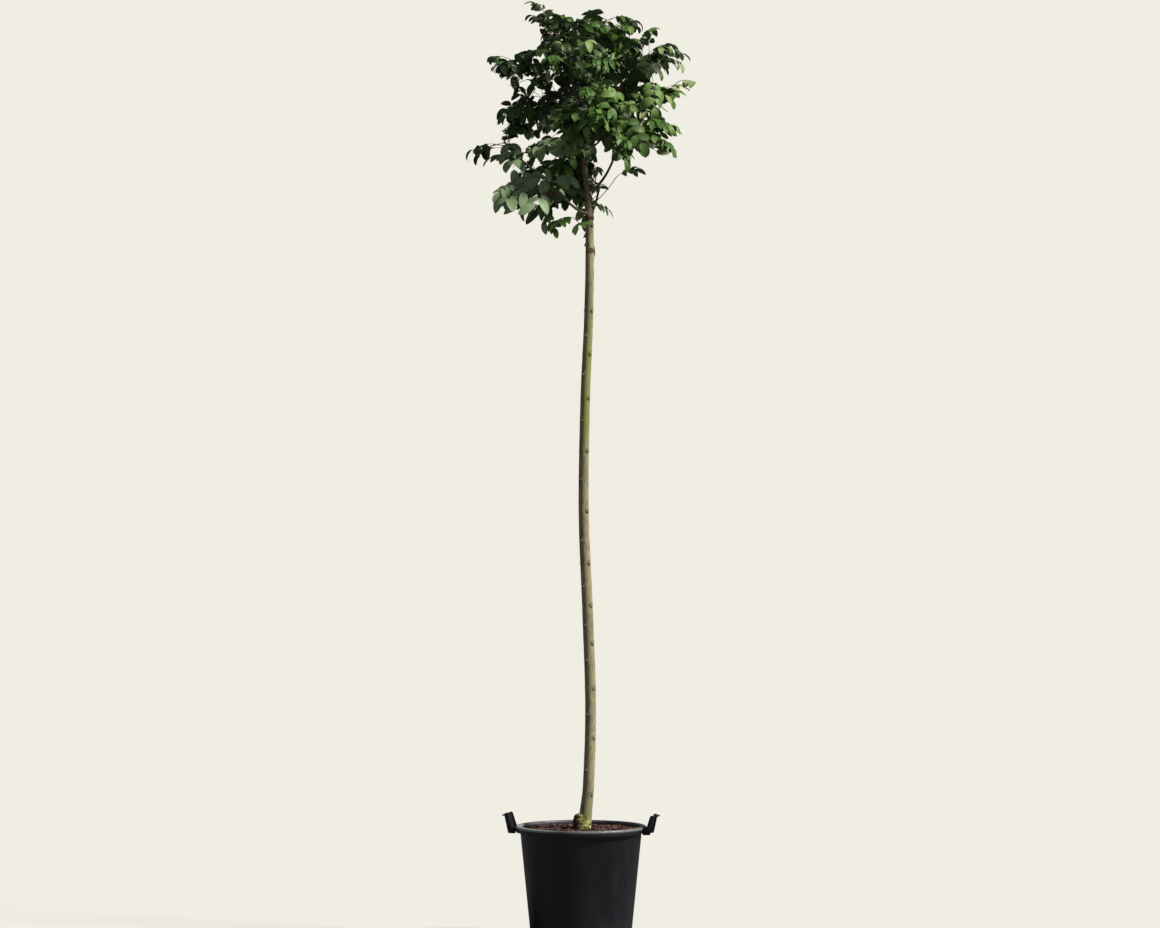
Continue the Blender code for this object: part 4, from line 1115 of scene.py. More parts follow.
def grow_leaf(base, heading, habit, droop, rng):
    """One leaf: its stalk, and its leaflets as (root, along, up, length, width, curl, place on the stalk)."""
    curl, hang, front, uneven, size = habit[:5]
    size *= rng.uniform(*LEAF_SIZES)
    length = LEAF_LENGTH * size
    lead = base + heading * length * 0.5 + UP * length * STALK_ARCH
    end = base + heading * length - UP * length * droop * STALK_FALL
    stalk = arc(base, lead, end, 7)
    facing = leaf_facing(end, front, uneven, rng)
    leaflets = []
    pairs = PAIR_PLACES[7 if rng.random() < 0.62 else 5]
    for number, place in enumerate(pairs + (1.0,)):
        at = place * (len(stalk) - 1)
        low = min(int(at), len(stalk) - 2)
        root = stalk[low].lerp(stalk[low + 1], at - low)
        along = (stalk[low + 1] - stalk[low]).normalized()
        up = (facing - along * facing.dot(along)).normalized()
        sideways = along.cross(up)
        for side in ((-1, 1) if place < 1.0 else (0,)):
            angle = math.radians(LEAFLET_ANGLE + rng.uniform(-LEAFLET_ANGLE_JITTER, LEAFLET_ANGLE_JITTER)) * side
            level = along * math.cos(angle) + sideways * math.sin(angle)
            head = (level - UP * hang * rng.uniform(0.3, 1.0) + up * rng.uniform(0.0, 0.25)).normalized()
            twist = Vector([rng.gauss(0, LEAFLET_TWIST * uneven) for axis in range(3)])
            blade_up = up + twist
            blade_up = (blade_up - head * blade_up.dot(head)).normalized()
            share = 1.08 if place == 1.0 else PAIR_SHARES[number + 3 - len(pairs)]
            blade = LEAFLET_LENGTH * size * share * rng.uniform(*LEAFLET_SIZES)
            width = rng.uniform(*LEAFLET_WIDTH)
            leaflets.append((root, head, blade_up, blade, width, curl * rng.uniform(0.6, 1.3), place))
    return stalk, leaflets


def leaflet_points(leaflet):
    """The middle and the tip of a leaflet along its curl."""
    root, along, up, length, width, curl = leaflet[:6]
    points = []
    for t in (0.5, 1.0):
        bend = curl * t
        points.append(root + along * length * math.sin(bend) / curl - up * length * (1 - math.cos(bend)) / curl)
    return points


# %% [markdown]
# Leaves are set by trial, as light and shade do it on the real tree: a bud tries a few headings, and the
# fullest leaf whose leaflets stay in their space, off the limbs and out of their neighbours' way is kept.
# A coarse grid of cells remembers where the leaflets are, so the question is answered quickly.

# %% Room for leaves
LEAF_TRIES = 8
FEWEST_LEAFLETS = 3
FULLEST_LOSS = 0.45
BOX_MARGIN = 0.022
LEAFLET_ROOM = 0.0125
LIMB_ROOM = 0.004
CELL = 0.02
# Sky between the sprays: centre along X and Z, half-width, half-height
LEAF_GAPS = (
    (-0.330, 2.700, 0.070, 0.050), (-0.310, 2.820, 0.070, 0.070), (-0.260, 2.830, 0.036, 0.026),
    (-0.370, 2.890, 0.070, 0.070), (-0.200, 3.010, 0.070, 0.050), (0.110, 3.110, 0.026, 0.050),
    (0.240, 2.980, 0.036, 0.018), (0.310, 2.880, 0.018, 0.026), (0.360, 2.740, 0.070, 0.070),
    (0.340, 2.590, 0.026, 0.070), (0.260, 2.580, 0.070, 0.026), (-0.050, 2.420, 0.050, 0.018),
    (-0.190, 2.650, 0.026, 0.018), (-0.280, 2.650, 0.018, 0.036), (-0.290, 2.580, 0.018, 0.070),
    (-0.290, 2.540, 0.036, 0.050), (-0.220, 2.370, 0.070, 0.026), (-0.310, 2.380, 0.070, 0.036),
    (-0.040, 2.443, 0.026, 0.026), (0.100, 2.562, 0.042, 0.054), (-0.317, 2.483, 0.026, 0.054),
    (-0.150, 2.377, 0.026, 0.032), (0.313, 2.670, 0.034, 0.022), (-0.193, 2.863, 0.022, 0.028),
    (0.062, 2.640, 0.022, 0.034), (0.240, 2.617, 0.022, 0.028), (-0.263, 2.977, 0.022, 0.034),
    (0.273, 2.867, 0.042, 0.026), (-0.087, 2.690, 0.022, 0.022), (0.220, 2.963, 0.028, 0.022),
    (-0.077, 2.423, 0.026, 0.026), (-0.153, 2.467, 0.020, 0.020), (-0.083, 2.843, 0.020, 0.020),
    (-0.220, 2.577, 0.020, 0.020),
)


class Crowding:
    """Remembers where leaflets are, and tells whether a new one has room."""

    def __init__(self):
        self.cells = {}

    def key(self, point):
        return tuple(math.floor(value / CELL) for value in point)

    def free(self, point, room):
        x, y, z = self.key(point)
        near = (self.cells.get((i, j, k), ()) for i in (x - 1, x, x + 1) for j in (y - 1, y, y + 1)
                for k in (z - 1, z, z + 1))
        return not any((other - point).length < room for cell in near for other in cell)

    def add(self, point):
        self.cells.setdefault(self.key(point), []).append(point)


def in_box(point):
    """Whether a point is in the box of the solids, or near enough to it."""
    box = zip(solid_box[0], point, solid_box[1])
    return all(low - BOX_MARGIN < value < high + BOX_MARGIN for low, value, high in box)


def in_open_air(point):
    """Whether a leaf may reach a point: it stays in the box, and keeps off every gap."""
    gaps = SKY_GAPS + LEAF_GAPS
    return in_box(point) and all(((point[0] - x) / wide) ** 2 + ((point[2] - z) / tall) ** 2 > 1
                                 for x, z, wide, tall in gaps)


def in_crown(point):
    return in_open_air(point) and any(in_reach(point, mass) < 1 for mass in MASSES)


def has_room(leaflet, allowed, crowd):
    middle, tip = leaflet_points(leaflet)
    room = LEAFLET_ROOM * leaflet[3] / LEAFLET_LENGTH
    return (allowed(tip) and allowed(middle) and crowd.free(middle, room)
            and LIMBS.find_nearest(middle)[3] > LIMB_ROOM)


def trimmed(stalk, leaflets):
    """A stalk that ends at its last leaflet."""
    return stalk[:math.ceil(max(leaflet[-1] for leaflet in leaflets) * (len(stalk) - 1)) + 1]


def leaf_with_room(at, head, habit, droop, allowed, crowd, rng):
    """The fullest leaf of some tries that differ a little; its leaflets stay where allowed and apart."""
    best = (None, [])
    for attempt in range(LEAF_TRIES):
        turned_head = (head + Vector([rng.gauss(0, 0.16) for axis in range(3)])).normalized()
        stalk, leaflets = grow_leaf(at, turned_head, habit, droop, rng)
        if not allowed(stalk[-1]):
            continue
        kept = [leaflet for leaflet in leaflets if has_room(leaflet, allowed, crowd)]
        enough = max(FEWEST_LEAFLETS, len(leaflets) * (1 - FULLEST_LOSS))
        if len(kept) >= enough and len(kept) > len(best[1]):
            best = (trimmed(stalk, kept), kept)
        if len(kept) == len(leaflets):
            break
    return best


# %% [markdown]
# The leaves of a mass sit at its twigs' ends, in pairs along the twigs and the stem, and on the side shoots
# that spring from some of those nodes. Boughs carry a few leaves too, which close the heart of the crown.

# %% Shoots and leaves of every mass
NODE_SPACING = 0.034
SHOOT_SHARE = 0.6
SHOOT_LENGTHS = (0.030, 0.075)
SHOOT_LIFT = 0.25
BOUGH_BARE = 3


def node_sites(line, spacing, rng):
    """Opposite leaf sites at the nodes along a line, each pair turned a quarter from the last."""
    sites = []
    length = sum((b - a).length for a, b in zip(line, line[1:]))
    count = round(length / spacing)
    first = rng.uniform(0, 180)
    for index in range(count):
        place = (index + 0.6) / count * 0.9 * (len(line) - 1)
        low = min(int(place), len(line) - 2)
        at = line[low].lerp(line[low + 1], place - low)
        along = (line[low + 1] - line[low]).normalized()
        for side in (0, 180):
            roll = first + 90 * index + side + rng.uniform(-LEAF_ROLL_JITTER, LEAF_ROLL_JITTER)
            turn = math.radians(LEAF_SPREAD + rng.uniform(-LEAF_SPREAD_JITTER, LEAF_SPREAD_JITTER))
            head = along * math.cos(turn) + across(along, roll) * math.sin(turn)
            sites.append((at, head.normalized()))
    return sites


def with_shoots(sites, allowed, rng):
    """Turns some leaf sites into side shoots with leaf sites of their own."""
    shoots, leafy = [], []
    for at, head in sites:
        length = rng.uniform(*SHOOT_LENGTHS)
        shoot = arc(at, at + head * length * 0.5, at + (head + UP * SHOOT_LIFT) * length, 4)
        if rng.random() < SHOOT_SHARE and allowed(shoot[-1]) and LIMBS.find_nearest(shoot[-1])[3] > LIMB_ROOM:
            shoots.append(shoot)
            leafy += end_sites(shoot[1:], rng)
        else:
            leafy.append((at, head))
    return shoots, leafy


def grow_mass(mass, crowd):
    """Side shoots and leaves of one mass: lines of shoots, and leaves as (stalk, leaflets, tint)."""
    habit = HABITS[mass[0]]
    size, seed, tints = habit[4:]
    rng = random.Random(seed)
    spacing = NODE_SPACING * size
    twigs, sites = WOOD[mass[0]]

    def own_space(point):
        return in_space(point, mass) and in_open_air(point)

    along = [site for twig in twigs for site in node_sites(twig, spacing, rng)]
    along += node_sites(stem_path(mass)[2:], spacing, rng)
    shoots, more = with_shoots(along, own_space, rng)
    plans = [(at, head, own_space) for at, head in sites + more]
    for row in BOUGHS:
        if row[0] == mass[1]:
            bare = bough_path(*row[1:5])[BOUGH_BARE:]
            plans += [(at, head, in_crown) for at, head in node_sites(bare, spacing * 1.3, rng)]
    leaves = []
    for at, head, allowed in plans:
        stalk, leaflets = leaf_with_room(at, head, habit, mass[4], allowed, crowd, rng)
        if leaflets:
            for leaflet in leaflets:
                crowd.add(leaflet_points(leaflet)[0])
            tint = rng.choices(range(len(TINT_NAMES)), weights=tints)[0]
            leaves.append((stalk, leaflets, tint))
    return shoots, leaves


crowd = Crowding()
GROWTH = {}
for mass in MASSES:
    shoots, leaves = grow_mass(mass, crowd)
    GROWTH[mass[0]] = (shoots, leaves)
    print(f"{mass[0]}: {len(shoots)} shoots, {len(leaves)} leaves, {sum(len(leaf[1]) for leaf in leaves)} leaflets")
print("leaflets in all:", sum(len(leaf[1]) for shoots, leaves in GROWTH.values() for leaf in leaves))

# %% [markdown]
# Some leaves stand out singly against the sky in the photograph, beyond what the rule grows: the sickles
# along the top, the leaflets that hang under the right side, and the sprigs at the head of the clear stem.
# They are listed one by one: each row names the mass that the sprig belongs to, its foot on the wood, the way it
# sets off, how long a shoot carries it, its kind, its size, a seed and its tint.

# %% Sprigs that stand out
# Each kind: curl, hang, turn to the front, unevenness
SPRIG_KINDS = {
    "sickle": (1.60, 0.10, 0.00, 0.35),
    "level": (0.90, 0.30, 0.30, 0.60),
    "broad": (0.50, 0.60, 1.10, 0.60),
}
# Each row: mass, foot, azimuth and rise in degrees, length of the shoot, kind, size, seed, tint
# Sprig tints paint light too: deep on the shaded left and top, bright on the sunlit right.
SPRIGS = (
    ("foliage_low_back", (0.0150, 0.1775, 2.5294), 90, -25, 0.05, "broad", 1.1, 200, "leaf_mid"),
    ("foliage_back_top", (0.0451, 0.1793, 2.9253), 120, -15, 0.05, "level", 0.95, 530, "leaf_deep"),
    ("foliage_left_low", (-0.2031, -0.0037, 2.6084), 315, 30, 0.006, "broad", 1.1, 217, "leaf_sage_and_painted_light"),
    ("foliage_low_left", (-0.1829, -0.1499, 2.4652), 20, -40, 0.05, "broad", 0.75, 213, "leaf_mid"),
    ("foliage_right_top", (0.1899, -0.0135, 2.9180), 85, -20, 0.006, "sickle", 0.95, 334, "leaf_deep"),
    ("foliage_left_low", (-0.2489, 0.0114, 2.6882), 285, -40, 0.006, "sickle", 0.95, 548, "leaf_sage_and_painted_light"),
    ("foliage_back_top", (0.0261, 0.1074, 2.9127), 235, -10, 0.09, "level", 0.95, 627, "leaf_deep"),
    ("foliage_front", (0.0876, -0.1638, 2.6833), 310, -35, 0.006, "level", 0.85, 325, "leaf_mid"),
    ("foliage_low_left", (0.0275, -0.0018, 2.3950), 85, -35, 0.006, "broad", 1.1, 932, "leaf_mid"),
    ("foliage_low_left", (0.0281, -0.0021, 2.3750), 235, 5, 0.09, "level", 0.75, 762, "leaf_mid"),
    ("foliage_left_mid", (-0.1189, -0.0571, 2.7733), 170, 10, 0.03, "broad", 0.85, 656, "leaf_deep"),
    ("foliage_left_top", (-0.2254, 0.0668, 2.9378), 90, -5, 0.006, "sickle", 0.75, 348, "leaf_deep"),
    ("foliage_right_low", (0.2361, -0.0090, 2.6660), 10, 45, 0.006, "broad", 0.75, 997, "leaf_bright"),
    ("foliage_low_back", (0.0116, 0.1781, 2.5041), 190, -5, 0.006, "broad", 1.1, 797, "leaf_mid"),
    ("foliage_left_top", (-0.2197, 0.0333, 2.8578), 25, -30, 0.07, "level", 0.85, 110, "leaf_deep"),
    ("foliage_front", (0.0830, -0.1308, 2.7450), 335, 55, 0.09, "broad", 0.85, 205, "leaf_deep"),
    ("foliage_left_top", (-0.2097, 0.0004, 2.8623), 80, -35, 0.07, "sickle", 0.85, 143, "leaf_deep"),
    ("foliage_low_left", (-0.1677, -0.0985, 2.4980), 225, 0, 0.05, "broad", 0.75, 609, "leaf_sage_and_painted_light"),
    ("foliage_top_left", (-0.1019, 0.0060, 3.0200), 110, 55, 0.03, "level", 0.75, 389, "leaf_deep"),
    ("foliage_left_low", (-0.1763, -0.0033, 2.5853), 205, 30, 0.006, "level", 0.95, 77, "leaf_sage_and_painted_light"),
    ("foliage_right_top", (0.1683, -0.0034, 2.8991), 80, -30, 0.09, "level", 0.85, 905, "leaf_deep"),
    ("foliage_back_top", (0.0473, 0.1636, 2.9436), 205, 50, 0.07, "level", 0.85, 996, "leaf_mid"),
    ("foliage_right", (0.2596, 0.0526, 2.8240), 315, 10, 0.09, "level", 0.75, 889, "leaf_fresh"),
    ("foliage_right_top", (0.1868, -0.0210, 2.9086), 30, 40, 0.05, "sickle", 0.95, 251, "leaf_bright"),
    ("foliage_right_top", (0.1868, -0.0210, 2.9086), 60, 60, 0.07, "sickle", 0.95, 759, "leaf_bright"),
    ("foliage_left_low", (-0.2371, -0.0038, 2.6404), 165, 10, 0.03, "sickle", 0.75, 489, "leaf_sage_and_painted_light"),
    ("foliage_low_left", (0.0238, -0.0007, 2.4550), 35, 5, 0.006, "broad", 0.75, 906, "leaf_mid"),
    ("foliage_front_top", (-0.0206, -0.1412, 2.9092), 140, -15, 0.09, "sickle", 0.85, 736, "leaf_deep"),
    ("foliage_front_top", (-0.0435, -0.1243, 2.9072), 150, 15, 0.09, "sickle", 0.95, 576, "leaf_deep"),
    ("foliage_right_low", (0.1616, -0.0095, 2.6249), 285, 5, 0.09, "level", 0.85, 719, "leaf_deep"),
    ("foliage_right_top", (0.2301, -0.0192, 2.9091), 275, -40, 0.07, "sickle", 0.95, 145, "leaf_bright"),
    ("foliage_back", (-0.0219, 0.2272, 2.7317), 180, -30, 0.05, "broad", 0.85, 677, "leaf_mid"),
    ("foliage_top", (0.0768, 0.0047, 3.0471), 55, -20, 0.07, "sickle", 0.95, 77, "leaf_mid"),
    ("foliage_low_left", (0.0281, -0.0021, 2.3750), 250, 10, 0.03, "level", 0.75, 507, "leaf_mid"),
    ("foliage_back_top", (0.0735, 0.1793, 2.9468), 125, -35, 0.07, "sickle", 0.95, 240, "leaf_deep"),
    ("foliage_low_left", (0.0223, -0.0003, 2.4750), 40, 50, 0.006, "level", 0.75, 809, "leaf_mid"),
    ("foliage_low_back", (-0.0144, 0.1798, 2.5702), 185, -10, 0.006, "broad", 1.1, 398, "leaf_mid"),
    ("foliage_low_back", (0.0507, 0.0983, 2.4724), 15, 40, 0.09, "level", 0.75, 602, "leaf_mid"),
    ("foliage_right_top", (0.2367, -0.0105, 2.9501), 265, -10, 0.03, "level", 0.85, 270, "leaf_deep"),
    ("foliage_back", (0.0045, 0.0571, 2.6046), 210, -10, 0.05, "broad", 0.95, 35, "leaf_mid"),
    ("foliage_right_mid", (0.0040, 0.0010, 2.7150), 185, 25, 0.006, "broad", 0.85, 561, "leaf_mid"),
    ("foliage_back_top", (0.0855, 0.1512, 2.9610), 20, 35, 0.05, "sickle", 0.65, 588, "leaf_mid"),
    ("foliage_front", (0.0876, -0.1638, 2.6833), 75, -30, 0.006, "sickle", 0.65, 76, "leaf_mid"),
    ("foliage_low_left", (-0.1379, -0.1086, 2.4884), 85, -20, 0.09, "broad", 1.1, 410, "leaf_sage_and_painted_light"),
    ("foliage_low_back", (0.0345, 0.1662, 2.5492), 85, 20, 0.07, "level", 0.85, 366, "leaf_deep"),
    ("foliage_left_top", (-0.2117, -0.0053, 2.8643), 275, -25, 0.07, "sickle", 0.65, 611, "leaf_deep"),
    ("foliage_top_left", (-0.0775, -0.0288, 2.9991), 180, 60, 0.07, "level", 0.65, 392, "leaf_deep"),
    ("foliage_left_mid", (-0.0167, -0.0115, 2.6488), 240, -35, 0.006, "sickle", 0.85, 104, "leaf_mid"),
    ("foliage_left_mid", (-0.1221, -0.0591, 2.7859), 210, -10, 0.05, "broad", 0.75, 679, "leaf_mid"),
    ("foliage_low_left", (0.0231, -0.0005, 2.4650), 90, -40, 0.09, "broad", 0.85, 885, "leaf_deep"),
    ("foliage_top", (0.0802, 0.0101, 3.0590), 40, 20, 0.03, "sickle", 0.85, 871, "leaf_mid"),
    ("foliage_right_top", (0.2552, -0.0250, 2.9425), 135, -15, 0.03, "sickle", 0.95, 990, "leaf_mid"),
    ("foliage_front_top", (-0.0400, -0.1386, 2.9201), 215, 20, 0.03, "sickle", 0.95, 677, "leaf_deep"),
    ("foliage_right_top", (0.1543, -0.0138, 2.8781), 15, -25, 0.09, "broad", 0.65, 17, "leaf_bright"),
    ("foliage_right_mid", (0.1012, 0.0509, 2.7296), 130, -40, 0.07, "broad", 0.85, 402, "leaf_mid"),
    ("foliage_top", (0.0291, 0.0040, 3.0275), 275, 60, 0.006, "level", 0.75, 905, "leaf_deep"),
    ("foliage_right_low", (0.1932, -0.0149, 2.6741), 355, 30, 0.03, "sickle", 0.75, 487, "leaf_bright"),
    ("foliage_right_top", (0.1768, -0.0139, 2.9056), 310, -5, 0.05, "sickle", 0.65, 869, "leaf_mid"),
    ("foliage_front", (0.0954, -0.1838, 2.7499), 330, -35, 0.03, "level", 0.85, 493, "leaf_mid"),
    ("foliage_back_top", (0.0449, 0.1965, 2.9626), 350, 45, 0.07, "level", 0.95, 114, "leaf_mid"),
)
SHORTEST_SHOOT = 0.008


def sprig_heading(azimuth, rise):
    return outward(azimuth) * math.cos(math.radians(rise)) + UP * math.sin(math.radians(rise))


def grow_sprig(row, crowd):
    """A sprig's shoot, and its leaf as a stalk and leaflets."""
    mass_name, foot, azimuth, rise, length, kind, size, seed, tint = row
    rng = random.Random(seed)
    foot, head = Vector(foot), sprig_heading(azimuth, rise)
    shoot = arc(foot, foot + head * length * 0.5, foot + (head + UP * SHOOT_LIFT) * length, 4)
    stalk, leaflets = grow_leaf(shoot[-1], head, (*SPRIG_KINDS[kind], size), 0.4, rng)
    leaflets = [leaflet for leaflet in leaflets if has_room(leaflet, in_box, crowd)]
    return shoot, trimmed(stalk, leaflets) if leaflets else stalk[:2], leaflets


for row in SPRIGS:
    shoot, stalk, leaflets = grow_sprig(row, crowd)
    for leaflet in leaflets:
        crowd.add(leaflet_points(leaflet)[0])
    shoots, leaves = GROWTH[row[0]]
    if row[4] > SHORTEST_SHOOT:
        shoots.append(shoot)
    leaves.append((stalk, leaflets, TINT_NAMES.index(row[-1])))
print(len(SPRIGS), "sprigs stand out")

# %% [markdown]
# The lines are now dressed with wood by the rod recipe. A bough swells into a collar where it leaves the
# leader, and its stem carries on from its tip at the same thickness. Twigs and shoots swell a little at
# their nodes, where the leaves sit, and the leaf stalks are slim green rods.

# %% Boughs, twigs and leaf stalks
BOUGH_POINTS = 12
COLLAR_SWELLING = 1.55
STEM_TIP_RADIUS = 0.0017
TWIG_RADII = (0.0021, 0.0014)
SHOOT_RADII = (0.0014, 0.0011)
STALK_RADII = (0.00105, 0.00055)


def tapered(line, foot, tip):
    last = len(line) - 1
    return [foot + (tip - foot) * index / last for index in range(last + 1)]


def fine_bough(row):
    """A bough's smooth line from the middle of the leader, and its thickness with a swollen collar."""
    name, fork_height, azimuth, reach, rise, radius = row
    start, collar = bough_path(*row[1:5])[:2]
    out = outward(azimuth)
    end = start + out * reach + UP * rise
    lead = collar + out * reach * BOUGH_LEAD[0] + UP * rise * BOUGH_LEAD[1]
    line = [trunk_centre(fork_height - 0.004), start] + arc(collar, lead, end, BOUGH_POINTS)
    radii = tapered(line, radius, radius * BOUGH_TAPER)
    radii[0] = radii[1] = radius * COLLAR_SWELLING
    radii[2] = radius * 1.25
    return line, radii


def wood_piece(name, lines, radii, stands_for, node_points, sides, spacing, swelling, skin):
    joints = link_object("joints", lines_mesh([[point] for point in node_points]))
    made = cooked(name, lines_mesh(lines, thickness=radii), RODS, sides=sides, spacing=spacing,
                  streak_height=0.0004, streak_scale=220.0, knots=joints, knot_height=swelling,
                  knot_reach=0.006, skin=skin)
    bpy.data.objects.remove(joints)
    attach(made, "root")
    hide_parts(*stands_for)
    return made


def make_wood():
    bough_lines, bough_radii, joints = [], [], []
    tips = {"trunk": trunk_radius(TRUNK_BENDS[-1][0])}
    for row in BOUGHS:
        line, radii = fine_bough(row)
        bough_lines.append(line)
        bough_radii.append(radii)
        tips[row[0]] = radii[-1]
        joints.append(line[len(line) // 2])
    names = [row[0] for row in BOUGHS]
    wood_piece("bough_wood", bough_lines, bough_radii, names, joints, 14, 0.0035, 0.0008, BOUGH_BARK)
    lines, radii, nodes, stalks, stalk_radii = [], [], [], [], []
    for mass in MASSES:
        stem = stem_path(mass, 14)
        lines.append(stem)
        radii.append(tapered(stem, tips[mass[1]], STEM_TIP_RADIUS))
        for twig in WOOD[mass[0]][0]:
            lines.append(arc(twig[0], twig[0] + (twig[1] - twig[0]) * 1.05, twig[2], 8))
            radii.append(tapered(lines[-1], *TWIG_RADII))
        shoots, leaves = GROWTH[mass[0]]
        for shoot in shoots:
            lines.append(shoot)
            radii.append(tapered(shoot, *SHOOT_RADII))
        for stalk, leaflets, tint in leaves:
            nodes.append(stalk[0])
            stalks.append(stalk)
            stalk_radii.append(tapered(stalk, *STALK_RADII))
    masses = [mass[0] for mass in MASSES]
    wood_piece("twig_wood", lines, radii, masses, nodes, 8, 0.005, 0.0007, TWIG_BARK)
    wood_piece("leaf_stalks", stalks, stalk_radii, masses, nodes, 5, 0.011, 0.0004, LEAF_STALK)


LEAF_STALK = leaf_finish("leaf_stalk", (0.110, 0.150, 0.050), 0.5)
make_wood()

# %% [markdown]
# One leaflet is a lens of two thin sheets that meet at the margin, made once from a grid: the grid's width
# follows the leaflet's outline, an ellipse broadest just below the middle and a little drawn out at its
# end. The recipe sets it on every leaflet's root and only then bends it, so that each copy has its own
# curl, fold and direction.

# %% The leaflet recipe
LEAFLET_CUTS = 9
LEAFLET_HALF_THICKNESS = 0.006
LEAFLET_FOLD = 0.22


def leaflet_recipe():
    r = Recipe("leaflets", cuts=int, half_thickness=float, fold=float)
    grid = r.node("GeometryNodeMeshGrid", 1.0, 2.0, r.given["cuts"], 3)
    place = r.node("GeometryNodeInputPosition")
    split = r.node("ShaderNodeSeparateXYZ", place)
    t = r.sum("ADD", split, 0.5)
    s = split.node.outputs["Y"]
    outline = r.sum("MULTIPLY", r.sum("POWER", t, 0.62), r.sum("POWER", r.sum("SUBTRACT", 1.0, t), 0.74))
    outline = r.sum("MULTIPLY", outline, 2.55)
    y = r.sum("MULTIPLY", s, outline)
    dome = r.sum("MULTIPLY", outline, r.sum("SUBTRACT", 1.0, r.sum("ABSOLUTE", s)))
    sheets = []
    for under, sign in ((0.0, 1.0), (1.0, -1.0)):
        z = r.sum("MULTIPLY", r.sum("MULTIPLY", dome, r.given["half_thickness"]), sign)
        sheet = r.node("GeometryNodeSetPosition", grid, None, r.node("ShaderNodeCombineXYZ", t, y, z))
        sheet = r.node("GeometryNodeStoreNamedAttribute", sheet, None, "under", under,
                       data_type="FLOAT", domain="FACE")
        sheets.append(r.node("GeometryNodeFlipFaces", sheet) if under else sheet)
    lens = r.node("GeometryNodeJoinGeometry")
    for sheet in sheets:
        r.tree.links.new(sheet, lens.node.inputs[0])
    merged = r.node("GeometryNodeMergeByDistance", lens)
    merged.node.inputs["Distance"].default_value = 0.0005
    stored = r.node("GeometryNodeStoreNamedAttribute", merged, None, "flat_place", place,
                    data_type="FLOAT_VECTOR", domain="POINT")
    points = r.node("GeometryNodeMeshToPoints", r.given["Geometry"])
    roots = r.node("GeometryNodeStoreNamedAttribute", points, None, "root", place,
                   data_type="FLOAT_VECTOR", domain="POINT")
    placed = r.node("GeometryNodeInstanceOnPoints", roots)
    r.plug(stored, placed.node.inputs["Instance"])
    real = r.node("GeometryNodeRealizeInstances", placed)
    flat = r.node("ShaderNodeSeparateXYZ", r.attribute("flat_place", "FLOAT_VECTOR"))
    t, y, z = (flat.node.outputs[axis] for axis in "XYZ")
    along, up = r.attribute("facing", "FLOAT_VECTOR"), r.attribute("upward", "FLOAT_VECTOR")
    side = r.vector("CROSS_PRODUCT", up, along)
    curl, width, length = r.attribute("curl"), r.attribute("width"), r.attribute("length")
    y = r.sum("MULTIPLY", y, width)
    bend = r.sum("MULTIPLY", curl, t)
    sine, cosine = r.sum("SINE", bend), r.sum("COSINE", bend)
    proud = r.sum("ADD", z, r.sum("MULTIPLY", r.sum("ABSOLUTE", y), r.given["fold"]))
    forward = r.sum("ADD", r.sum("DIVIDE", sine, curl), r.sum("MULTIPLY", proud, sine))
    fall = r.sum("DIVIDE", r.sum("SUBTRACT", cosine, 1.0), curl)
    rise = r.sum("ADD", fall, r.sum("MULTIPLY", proud, cosine))
    shift = r.vector("ADD", r.vector("SCALE", along, forward), r.vector("SCALE", up, rise))
    shift = r.vector("ADD", shift, r.vector("SCALE", side, y))
    where = r.vector("ADD", r.attribute("root", "FLOAT_VECTOR"), r.vector("SCALE", shift, length))
    made = r.node("GeometryNodeSetPosition", real, None, where)
    made = r.node("GeometryNodeSetShadeSmooth", made)
    under = r.node("FunctionNodeCompare", r.attribute("under"), 0.5, operation="GREATER_THAN", data_type="FLOAT")
    for index, look in enumerate(LEAF_FINISHES):
        own = r.node("FunctionNodeCompare", r.attribute("tint"), float(index), operation="EQUAL", data_type="FLOAT")
        made = r.node("GeometryNodeSetMaterial", made, own, look)
    made = r.node("GeometryNodeSetMaterial", made, under, UNDERSIDE)
    r.close(made)
    return r


LEAFLETS = leaflet_recipe()

# %% [markdown]
# The leaflets are joined into a few pieces, each of a part of the crown, so none grows too large for the
# export. The margin of a leaflet is kept sharp and its fold smooth, so light breaks at the edge of a leaf
# and runs evenly over its face.

# %% Leaflets
LEAFLET_PIECES = {
    "leaflets_low": ("foliage_low_left", "foliage_low_back", "foliage_left_low", "foliage_right_low",
                     "foliage_front", "foliage_back"),
    "leaflets_middle": ("foliage_left_mid", "foliage_right_mid", "foliage_left_top", "foliage_right",
                        "foliage_right_top"),
    "leaflets_top": ("foliage_front_top", "foliage_top_left", "foliage_back_top", "foliage_top"),
}


def make_leaflets(name, masses):
    places, facings, ups, numbers = [], [], [], {"length": [], "width": [], "curl": [], "tint": []}
    for mass in masses:
        for stalk, leaflets, tint in GROWTH[mass][1]:
            for root, along, up, length, width, curl, place in leaflets:
                places.append(root)
                facings.append(along)
                ups.append(up)
                for key, value in (("length", length), ("width", width), ("curl", curl), ("tint", tint)):
                    numbers[key].append([value])
    mesh = lines_mesh([[place] for place in places], **numbers)
    for key, vectors in (("facing", facings), ("upward", ups)):
        layer = mesh.attributes.new(key, "FLOAT_VECTOR", "POINT")
        layer.data.foreach_set("vector", [value for vector in vectors for value in vector])
    made = cooked(name, mesh, LEAFLETS, cuts=LEAFLET_CUTS, half_thickness=LEAFLET_HALF_THICKNESS,
                  fold=LEAFLET_FOLD)
    made.data.set_sharp_from_angle(angle=math.radians(60))
    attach(made, "root")
    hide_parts(*masses)


for name, masses in LEAFLET_PIECES.items():
    make_leaflets(name, masses)

# %% [markdown]
# The pot is a turned shape: one profile swept round the axis by a Screw modifier. What makes it look
# moulded rather than drawn is that no corner is sharp, so a helper first rounds the profile's corners, each
# by its own radius. The drain holes round the foot are then cut with small cylinders.

